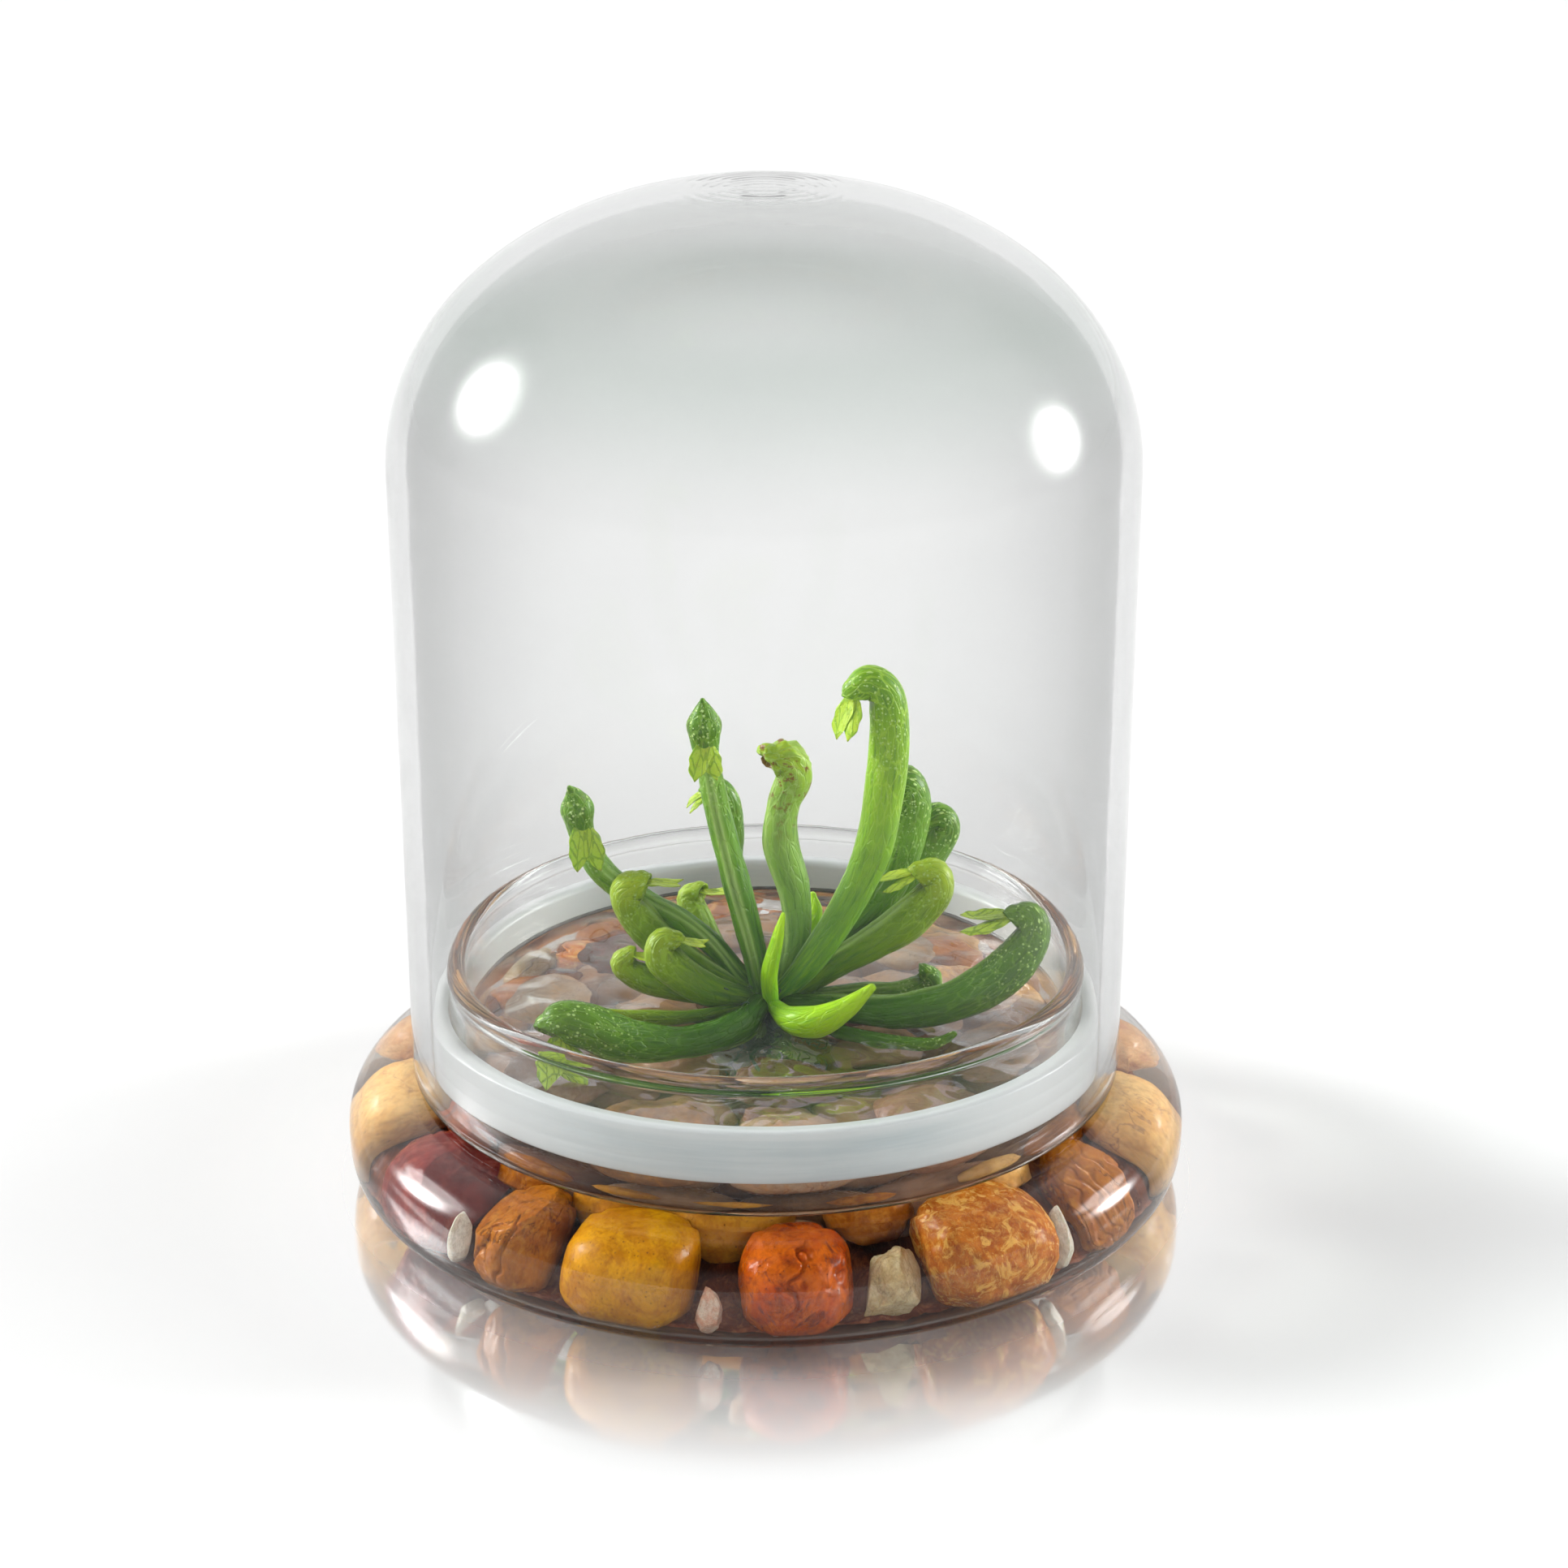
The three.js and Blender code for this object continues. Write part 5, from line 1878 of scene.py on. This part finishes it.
class Leaf:
    """Builds one leaf: its tube with a keel, its hood with a mouth, and its fishtail."""

    sides = 48
    step = 0.42
    cap_rings = 8

    def __init__(self, plan: LeafPlan, seed: int) -> None:
        """Reads the plan.

        Args:
            plan: the leaf's rows.
            seed: picks its small unevenness.
        """
        self.plan = plan
        self.seed = seed
        self.line = CentreLine(plan.line)

    def side_on(self, places: np.ndarray, ways: np.ndarray) -> np.ndarray:
        """The direction that stays across the leaf's curl.

        Args:
            places: points down the centre line.
            ways: the line's direction at each.

        Returns:
            One unit vector.
        """
        if self.plan.fishtail:
            start = np.array(self.plan.fishtail[0], float)
            gaps = start - places
            nearest = int(np.argmin(np.linalg.norm(gaps, axis=1)))
            if np.linalg.norm(gaps[nearest]) > 0.9:
                return unit(np.cross(ways[nearest], gaps[nearest]))
        centred = places - places.mean(axis=0)
        across = np.linalg.svd(centred, full_matrices=False)[2][2]
        late = ways[int(len(ways) * 0.6):]
        curl = late[-1] - late[0]
        towards = np.cross(across, late[len(late) // 2])
        return across if towards @ curl > 0 else -across

    def tube(self) -> Skin:
        """The tube and hood.

        Returns:
            Their skin.
        """
        count = max(24, int(self.line.length / self.step))
        share = np.linspace(0, 1, count)
        rows = self.line.at(share)
        places, width = rows[:, :3], rows[:, 3].copy()
        ways = unit(np.gradient(places, axis=0))
        across = self.side_on(places, ways)
        inward = unit(np.cross(across, ways))
        side = np.cross(ways, inward)
        width *= 1 + 0.03 * Relief(self.seed, 9).at(places)
        caps = np.linspace(0, math.pi / 2, self.cap_rings + 1)[1:-1]
        start_c = places[0] - ways[0] * (width[0] * np.sin(caps[::-1]))[:, None]
        end_c = places[-1] + ways[-1] * (width[-1] * 0.9 * np.sin(caps))[:, None]
        k = len(caps)
        centres = np.vstack([start_c, places, end_c])
        radii = np.concatenate([width[0] * np.cos(caps[::-1]), width, width[-1] * np.cos(caps)])
        n = np.vstack([np.repeat(inward[:1], k, 0), inward, np.repeat(inward[-1:], k, 0)])
        b = np.vstack([np.repeat(side[:1], k, 0), side, np.repeat(side[-1:], k, 0)])
        s = np.concatenate([np.zeros(k), share, np.ones(k)])
        angle = np.arange(self.sides) * (2 * math.pi / self.sides)
        twist = 0.5 * np.sin(2.2 * s + self.seed)[:, None] * (1 - s[:, None])
        theta = angle[None, :] + twist
        wrapped_angle = (theta + math.pi) % (2 * math.pi) - math.pi
        keel_fade = smooth_step(s, 0.02, 0.2) * (1 - smooth_step(s, 0.72, 0.86))
        lines = sum(np.exp(-(((wrapped_angle - off) / 0.13) ** 2)) for off in (-0.2, 0.2))
        ridge = lines * keel_fade[:, None]
        swell = 1 + 0.11 * ridge + 0.05 * np.cos(2 * wrapped_angle) * keel_fade[:, None]
        r = radii[:, None] * swell
        flat = 1 - self.plan.flat
        points = (
            centres[:, None, :]
            + (r * np.cos(angle))[:, :, None] * n[:, None, :] * flat
            + (r * np.sin(angle))[:, :, None] * b[:, None, :]
        )
        grid = points.reshape(-1, 3)
        start = places[0] - ways[0] * width[0]
        end = places[-1] + ways[-1] * width[-1] * 0.9
        allp = np.vstack([start, grid, end])
        ring_s = np.repeat(s, self.sides)
        s_all = np.concatenate([[0], ring_s, [1]])
        hood = smooth_step(s_all, 0.55, 0.86)
        r_all = np.concatenate([[0], np.repeat(radii, self.sides), [0]])
        lay = np.column_stack([
            r_all * np.concatenate([[0], np.tile(np.cos(angle), len(s)), [0]]),
            r_all * np.concatenate([[0], np.tile(np.sin(angle), len(s)), [0]]),
            s_all * self.line.length,
        ])
        lay += np.array([17.3 * self.seed, 0, 0])
        facing = unit(0.75 * inward[-1] + 0.65 * ways[-1])
        allp, mouth = self.open_mouth(allp, places[-1], facing, width[-1] * 1.25)
        if self.plan.ruffle:
            crumple = Relief(self.seed + 3, 2.2).at(allp) * smooth_step(s_all, 0.82, 1.0)
            crumple *= self.plan.ruffle * 1.6
            away = unit(allp - places[-1] + 1e-9)
            allp = allp + away * crumple[:, None]
        zero = np.zeros(len(allp))
        ridge_all = np.concatenate([[0], ridge.ravel(), [0]])
        return Skin(allp, wrapped(len(s), self.sides), s_all, hood, zero, ridge_all, mouth, lay)

    def open_mouth(
        self, points: np.ndarray, end: np.ndarray, facing: np.ndarray, width: float
    ) -> Tuple[np.ndarray, np.ndarray]:
        """Presses the mouth into the end of the hood and rolls its lip.

        Args:
            points: the hood's corners.
            end: where the centre line ends.
            facing: the way that the mouth faces.
            width: the hood's half width there.

        Returns:
            The pressed corners, and how deep in the mouth each one is.
        """
        out = points - end
        near = smooth_step(np.linalg.norm(out, axis=1), 1.7 * width, 1.1 * width)
        rise = out @ facing / width
        deep = smooth_step(rise, 0.42, 0.85) * near * min(1.0, self.plan.mouth * 2)
        lip = np.exp(-(((rise - 0.36) / 0.1) ** 2)) * near * self.plan.mouth
        side = out - (out @ facing)[:, None] * facing
        pressed = points - facing * (deep * width * 1.1)[:, None]
        pressed += unit(side + 1e-9) * (lip * 0.22 * width)[:, None]
        return pressed, deep

    def lobe(self, hand: float) -> Skin:
        """One half of the fishtail.

        Args:
            hand: -1 for one side and 1 for the other.

        Returns:
            The lobe's skin.
        """
        (start, aim, length) = self.plan.fishtail
        down = unit(np.array(aim, float))
        wide = unit(np.array([-down[1], down[0], 0.0]))
        thick = np.cross(wide, down)
        rings, sides = 26, 20
        t = np.linspace(0.02, 0.985, rings)
        draw = np.random.default_rng(self.seed * 7 + int(hand) + 3)
        bend, drop = draw.uniform(-0.12, 0.16), draw.uniform(0.9, 1.08)
        off = (0.035 + 0.17 * t * self.plan.spread + 0.05 * t**2 * self.plan.spread) * length * hand
        curl = (bend * t**2 + 0.03 * np.sin(5 * t + self.seed)) * length
        centre = np.array(start, float) + down * (t * length * drop)[:, None]
        centre = centre + wide * off[:, None] + thick * curl[:, None]
        half = (0.06 + 0.19 * np.sin(math.pi * t**0.85) ** 0.9) * length * np.clip((1 - t) * 6, 0, 1) ** 0.6
        half *= 1 + 0.13 * np.sin(19 * t + self.seed) * t
        slim = np.full(rings, 0.19) * (1 - 0.45 * t)
        angle = np.arange(sides) * (2 * math.pi / sides)
        cup = 0.3 * half[:, None] * (np.cos(angle) ** 2)[None, :] * hand
        ring = (
            centre[:, None, :]
            + (half[:, None] * np.cos(angle))[:, :, None] * wide
            + (slim[:, None] * np.sin(angle) + cup * 0.8)[:, :, None] * thick
        )
        tip = centre[-1] + down * 0.15 * length * 0.1
        points = np.vstack([centre[0] - down * 0.1, ring.reshape(-1, 3), tip])
        along = np.concatenate([[0], np.repeat(t, sides), [1]])
        across = np.concatenate([[0], (half[:, None] * np.cos(angle)).ravel(), [0]])
        lay = np.column_stack([across + 5 * hand, np.zeros(len(across)), along * length])
        zero = np.zeros(len(points))
        return Skin(points, wrapped(rings, sides), along, zero + 1, zero + 1, zero, zero, lay)

    def build(self, groups: Groups) -> Piece:
        """Makes the leaf.

        Args:
            groups: the shared node groups.

        Returns:
            The leaf's piece.
        """
        skins = [self.tube()]
        if self.plan.fishtail:
            skins += [self.lobe(-1), self.lobe(1)]
        piece = Skin.joined(skins).piece("plant_" + self.plan.name)
        finish = self.plan.look.value
        groups.dress(piece, finish)
        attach(piece, BASE)
        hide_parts(self.plan.name)
        return piece


@dataclass
class RootStock:
    """The rhizome under the crown, its three long roots and a beard of fine fibres."""

    outline: Rows = field(default_factory=lambda: [
        (0, 12.2), (2, 12.2), (4.4, 15), (5, 19), (4.4, 23), (3.6, 26.5), (2.4, 29), (0, 29),
    ])
    root_width: float = 0.5
    fibre_length: float = 9.0
    fibre_width: float = 0.13
    fibre_density: float = 0.55  # for each square millimetre

    def fibre_tree(self) -> Tree:
        """The node tree that grows fibres out of a surface.

        Returns:
            The geometry node group.
        """
        made = GroupMaker("RootFibres", {
            "Geometry": "Geometry", "Density": "Float", "Length": "Float", "Width": "Float",
            "Wander": "Float", "Seed": "Int", "Material": "Material",
        }, {"Geometry": "Geometry"}, "GeometryNodeTree")
        s, given = made.shade, made.given
        strew = s.fed("GeometryNodeDistributePointsOnFaces", {
            "Mesh": given["Geometry"], "Density": given["Density"], "Seed": given["Seed"],
        })
        straight = s.fed("GeometryNodeCurvePrimitiveLine", {"Start": (0, 0, 0), "End": (0, 0, 1)})
        fine = s.fed("GeometryNodeResampleCurve", {"Curve": straight, "Count": 12})
        size = s.fed("FunctionNodeRandomValue", {"Min": 0.45, "Seed": given["Seed"]}, data_type="FLOAT")
        long = s.times(size.outputs[1], given["Length"])
        set_out = s.fed("GeometryNodeInstanceOnPoints", {
            "Points": strew.outputs["Points"], "Instance": fine,
            "Rotation": strew.outputs["Rotation"], "Scale": long,
        })
        real = s.fed("GeometryNodeRealizeInstances", {0: set_out})
        factor = s.node("GeometryNodeSplineParameter").outputs["Factor"]
        cloud = s.fed("ShaderNodeTexNoise", {"Scale": 260, "Detail": 1})
        swing = s.vector("SUBTRACT", cloud.outputs["Color"], (0.5, 0.5, 0.62))
        far = s.times(factor, given["Wander"])
        push = s.fed("ShaderNodeVectorMath", {0: swing, "Scale": far}, operation="SCALE")
        bent = s.fed("GeometryNodeSetPosition", {"Geometry": real, "Offset": push})
        thin = s.fed("GeometryNodeSetCurveRadius", {
            "Curve": bent, "Radius": s.less(1.0, s.times(factor, 0.75)),
        })
        ring = s.fed("GeometryNodeCurvePrimitiveCircle", {"Resolution": 5, "Radius": given["Width"]})
        sweep = s.fed("GeometryNodeCurveToMesh", {
            "Curve": thin, "Profile Curve": ring, "Fill Caps": 1,
        })
        smooth = s.fed("GeometryNodeSetShadeSmooth", {"Geometry": sweep})
        dress = s.fed("GeometryNodeSetMaterial", {"Geometry": smooth, "Material": given["Material"]})
        made.out("Geometry", dress)
        return made.tree

    def stock(self) -> Tuple[np.ndarray, Faces]:
        """The knobbly rhizome.

        Returns:
            The corners and the faces.
        """
        rows = np.array(self.outline)
        z = between(rows[0, 1], rows[-1, 1], 0.4)
        radius = np.interp(z, rows[1:-1, 1], rows[1:-1, 0])
        profile = [(0.0, z[0] - 0.2)] + list(zip(radius, z)) + [(0.0, z[-1] + 0.3)]
        points, faces = turned_points(profile, 64, False)
        lumps = 1 + 0.09 * Relief(71, 3.2).at(points) + 0.03 * Relief(72, 1.1).at(points)
        points[:, :2] *= lumps[:, None]
        return points, faces

    def root(self, name: str, rows: Rows, seed: int) -> Piece:
        """One long root.

        Args:
            name: its CAD node.
            rows: the points that it passes through.
            seed: picks its unevenness.

        Returns:
            The root's piece.
        """
        line = CentreLine([[*row, self.root_width] for row in rows])
        count, sides = 60, 14
        share = np.linspace(0, 1, count)
        data = line.at(share)
        ways = unit(np.gradient(data[:, :3], axis=0))
        side = unit(np.cross(ways, (0.0, 0.0, 1.0)))
        up = np.cross(side, ways)
        width = self.root_width * (1 - 0.45 * share) * (1 + 0.15 * Relief(seed, 1.6).at(data[:, :3]))
        width *= np.sqrt(np.clip(np.minimum(share * 40, (1 - share) * 30), 0.1, 1))
        angle = np.arange(sides) * (2 * math.pi / sides)
        ring = (
            data[:, None, :3]
            + (width[:, None] * np.cos(angle))[:, :, None] * side[:, None, :]
            + (width[:, None] * np.sin(angle))[:, :, None] * up[:, None, :]
        )
        ends = [data[0, :3] - ways[0] * 0.2, data[-1, :3] + ways[-1] * 0.2]
        points = np.vstack([ends[0], ring.reshape(-1, 3), ends[1]])
        piece = solid("plant_" + name, points, wrapped(count, sides))
        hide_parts(name)
        return piece

    def build(self, groups: Groups) -> List[Piece]:
        """Makes the rhizome, the roots and the fibres.

        Args:
            groups: the shared node groups.

        Returns:
            Their pieces.
        """
        finish = RootFinish()
        look = finish.material(groups)
        stock = solid("plant_rhizome", *self.stock())
        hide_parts("rhizome")
        pieces = [stock] + [self.root(n, rows, 81 + i) for i, (n, rows) in enumerate(ROOTS.items())]
        for piece in pieces:
            piece.data.materials.append(look)
        values = {
            "Density": self.fibre_density / MM**2, "Length": self.fibre_length * MM,
            "Width": self.fibre_width * MM, "Wander": 11 * MM, "Seed": 4, "Material": look,
        }
        shape = [(0, 15), (4.2, 15.5), (4.6, 19), (4.2, 23), (3.4, 24.6), (0, 24.8)]
        lower = solid("fibre_root", *turned_points(shape, 24, False))
        fibres = grown("plant_root_fibres", self.fibre_tree(), values, lower.data)
        bpy.data.objects.remove(lower)
        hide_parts("rhizome")
        pieces.append(fibres)
        for piece in pieces:
            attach(piece, BASE)
        return pieces


@dataclass
class Water:
    """The water in the bowl, with ripples, and a raised edge where it meets glass and leaves."""

    level: float = 26.2
    overlap: float = 0.12  # how far it reaches into the glass, so that light passes straight across
    ripple: float = 0.22
    ripple_length: float = 9.0
    rise: float = 0.6
    sides: int = 200

    def top(self, points: np.ndarray, neck: float) -> np.ndarray:
        """The height of the surface.

        Args:
            points: places on it.
            neck: the radius where it meets the glass.

        Returns:
            One height for each place.
        """
        flat = points * np.array([1, 1, 0])
        radius = np.hypot(points[:, 0], points[:, 1])
        height = self.ripple * Relief(90, self.ripple_length).at(flat)
        height += 0.35 * self.ripple * Relief(91, self.ripple_length * 0.45).at(flat)
        height *= smooth_step(radius, neck, neck - 4)
        height += self.rise * np.exp(-(neck - radius) / 1.3)
        gap = np.full(len(points), 1e3)
        for plan in LEAVES:
            line = CentreLine(plan.line, 12).samples
            deep = (line[:, 2] - self.level) / np.maximum(line[:, 3], 0.1)
            for x, y, _, width in line[np.abs(deep) < 1]:
                gap = np.minimum(gap, np.hypot(points[:, 0] - x, points[:, 1] - y) - 0.8 * width)
        return self.level + height + 0.5 * np.exp(-np.maximum(gap, 0) / 1.1)

    def build(self, groups: Groups, bowl: GlassBowl) -> Piece:
        """Makes the water.

        Args:
            groups: the shared node groups.
            bowl: the bowl that holds it.

        Returns:
            The water's piece.
        """
        wall = bowl.cavity(-self.overlap, self.level - 1)
        neck = bowl.neck_radius - bowl.neck_wall + self.overlap
        surface = [(r, self.level) for r in between(neck, 0, 0.7)]
        surface[-1] = (0.0, self.level)
        points, faces = turned_points(wall + surface, self.sides, False)
        first = 1 + (len(wall) - 1) * self.sides
        points[first:, 2] = self.top(points[first:], neck)
        piece = solid("still_water", points, faces)
        piece.data.materials.append(WATER.material(groups))
        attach(piece, BASE)
        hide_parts("water")
        return piece


# ---- Floor, light and camera ----


@dataclass
class Studio:
    """A white floor, a bright surround with two soft lamps in it, and the camera."""

    camera_place: Tuple[float, float, float] = (0.00285, -0.4355, 0.2302)
    camera_tilt: float = 90 - 21.01
    lens: float = 70.55
    floor_size: float = 8.0
    # Close to the bowl the floor is painted greyer and glows less, as a shadow.
    painted_shadow_grey: float = 0.66
    glow_beyond_shadow: float = 0.1
    painted_shadow_zone: Tuple[float, float] = (62 * MM, 230 * MM)  # distances from the bowl's axis over which the painted shadow fades out
    # A painted glow in the floor under the bowl, lighting the stones from below.
    painted_glow_under_bowl: float = 0.35
    painted_glow_zone: Tuple[float, float] = (50 * MM, 62 * MM)
    mirror: float = 0.72
    mirror_rough: float = 0.08
    mirror_zone: Tuple[float, float] = (60 * MM, 100 * MM)
    bounces: int = 24
    soft_lamps: Tuple[Tuple[Colour, float, float], ...] = (  # towards what, spread and power
        ((-0.88, 0.266, 0.395), 0.115, 110.0),
        ((0.956, 0.216, 0.198), 0.10, 110.0),
    )

    def floor(self) -> Piece:
        """The floor: white, and polished close to the bowl, with a painted shadow round the bowl and a
        painted glow under it.

        Returns:
            The floor.
        """
        half = self.floor_size / 2
        mesh = bpy.data.meshes.new("floor")
        corners = [(x * half, y * half, TABLE_Z) for x, y in ((-1, -1), (1, -1), (1, 1), (-1, 1))]
        mesh.from_pydata(corners, [], [(0, 1, 2, 3)])
        floor = bpy.data.objects.new("floor", mesh)
        bpy.context.scene.collection.objects.link(floor)
        made = Surface("WhiteFloor")
        s = made.shade
        at = s.place()
        away = s.vector("LENGTH", s.vector("MULTIPLY", at, (1, 1, 0)))
        white = s.mix(s.noise(at, 30, 3), (0.71, 0.71, 0.71), (0.73, 0.73, 0.73))
        # Painted shadow: greyer and without glow close to the bowl.
        near = s.span(away, *self.painted_shadow_zone)
        # Painted light: a glow in the floor under the bowl.
        under = s.span(away, *self.painted_glow_zone, self.painted_glow_under_bowl, 0.0)
        glow = s.plus(s.times(near, self.glow_beyond_shadow), under)
        made.set(
            Base_Color=s.mix(near, (self.painted_shadow_grey,) * 3, white), Roughness=0.9, Specular_IOR_Level=0.0,
            Emission_Color=s.mix(glow, (0, 0, 0), (1, 1, 1)), Emission_Strength=1.0,
        )
        gloss = s.fed("ShaderNodeBsdfGlossy", {"Color": (1, 1, 1, 1), "Roughness": self.mirror_rough})
        shown = s.span(away, *self.mirror_zone, self.mirror, 0.0)
        blend = s.fed("ShaderNodeMixShader", {0: shown, 1: made.skin, 2: gloss})
        s.put(made.output.inputs[0], blend)
        mesh.materials.append(made.material)
        return floor

    def surround(self) -> None:
        """The light all round: bright behind, dimmer in front and overhead, with two soft round lamps."""
        world = bpy.data.worlds.new("Surround")
        world.use_nodes = True
        bpy.context.scene.world = world
        s = Shade(world.node_tree)
        way = s.vector("NORMALIZE", s.node("ShaderNodeTexCoord").outputs["Generated"])
        parts = s.apart(way)
        front, back = s.span(parts[1], -0.5, 0.3, 0.3, 0.72), s.span(parts[1], 0.3, 0.75, 0.0, 0.3)
        overhead = s.span(parts[2], 0.72, 0.93, 1.0, 0.1)
        level = s.times(s.plus(front, back), overhead)
        for towards, spread, power in self.soft_lamps:
            near = s.less(s.vector("DOT_PRODUCT", way, unit(np.array(towards)).tolist()), 1.0)
            lobe = s.math("EXPONENT", s.math("DIVIDE", near, spread**2 / 2))
            level = s.plus(level, s.times(lobe, power))
        made = world.node_tree.nodes["Background"]
        s.put(made.inputs["Color"], level)
        s.put(made.inputs["Strength"], 1.0)

    def lamp(
        self, name: str, place: Sequence[float], aim: Sequence[float], size: float, power: float
    ) -> None:
        """A soft square lamp that is not seen in reflections.

        Args:
            name: its name.
            place: where it hangs.
            aim: what it points at.
            size: its width.
            power: its watts.
        """
        light = bpy.data.lights.new(name, "AREA")
        light.energy = power
        light.size = size
        lamp = bpy.data.objects.new(name, light)
        lamp.location = place
        lamp.rotation_euler = (Vector(aim) - Vector(place)).to_track_quat("-Z", "Y").to_euler()
        lamp.visible_camera = lamp.visible_glossy = lamp.visible_transmission = False
        bpy.context.scene.collection.objects.link(lamp)

    def camera(self) -> None:
        """The camera."""
        data = bpy.data.cameras.new("camera")
        data.lens = self.lens
        data.sensor_width = 36
        camera = bpy.data.objects.new("camera", data)
        camera.location = self.camera_place
        camera.rotation_euler = (math.radians(self.camera_tilt), 0, 0)
        bpy.context.scene.collection.objects.link(camera)
        bpy.context.scene.camera = camera

    def build(self) -> None:
        """Makes the floor, the lights and the camera."""
        self.floor()
        self.surround()
        self.lamp("overhead", (0.0, -0.05, 1.2), (0, 0, 0), 0.8, 4.2)
        self.lamp("left_key", (-0.75, -0.35, 0.75), (0, 0, 0.05), 1.2, 1.3)
        self.lamp("right_key", (0.75, -0.4, 0.7), (0, 0, 0.05), 1.2, 1.1)
        self.lamp("front_fill", (0.2, -1.1, 0.25), (0, 0, 0.02), 0.5, 3.0)
        self.camera()
        scene = bpy.context.scene
        scene.view_settings.view_transform = "Standard"
        cycles = scene.cycles
        cycles.max_bounces = cycles.transmission_bounces = self.bounces
        cycles.transparent_max_bounces = 32
        cycles.glossy_bounces = 8
        cycles.caustics_reflective = cycles.caustics_refractive = False


def main() -> None:
    """Builds the terrarium piece by piece, then the studio."""
    logging.basicConfig(level=logging.INFO, format="%(message)s")
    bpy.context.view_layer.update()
    groups = Groups()
    bowl = GlassBowl()
    built = [GlassDome().build(groups), bowl.build(groups), SealRing().build(groups)]
    built.append(Water().build(groups, bowl))
    built += PebbleBed().build(groups)
    built += [stone.build(groups, bowl) for stone in OUTER_STONES + UPPER_STONES + CHIP_STONES]
    built += [stone.build(groups, bowl, i + 1) for i, stone in enumerate(FILL_STONES)]
    built.append(GapShadeBank().build(groups, bowl))
    built += RootStock().build(groups)
    built += [Leaf(plan, 101 + i).build(groups) for i, plan in enumerate(LEAVES)]
    for piece in built:
        log.info("%s: %d faces", piece.name, len(piece.data.polygons))
    Studio().build()
    bpy.context.view_layer.update()
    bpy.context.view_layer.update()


if __name__ == "__main__":
    main()
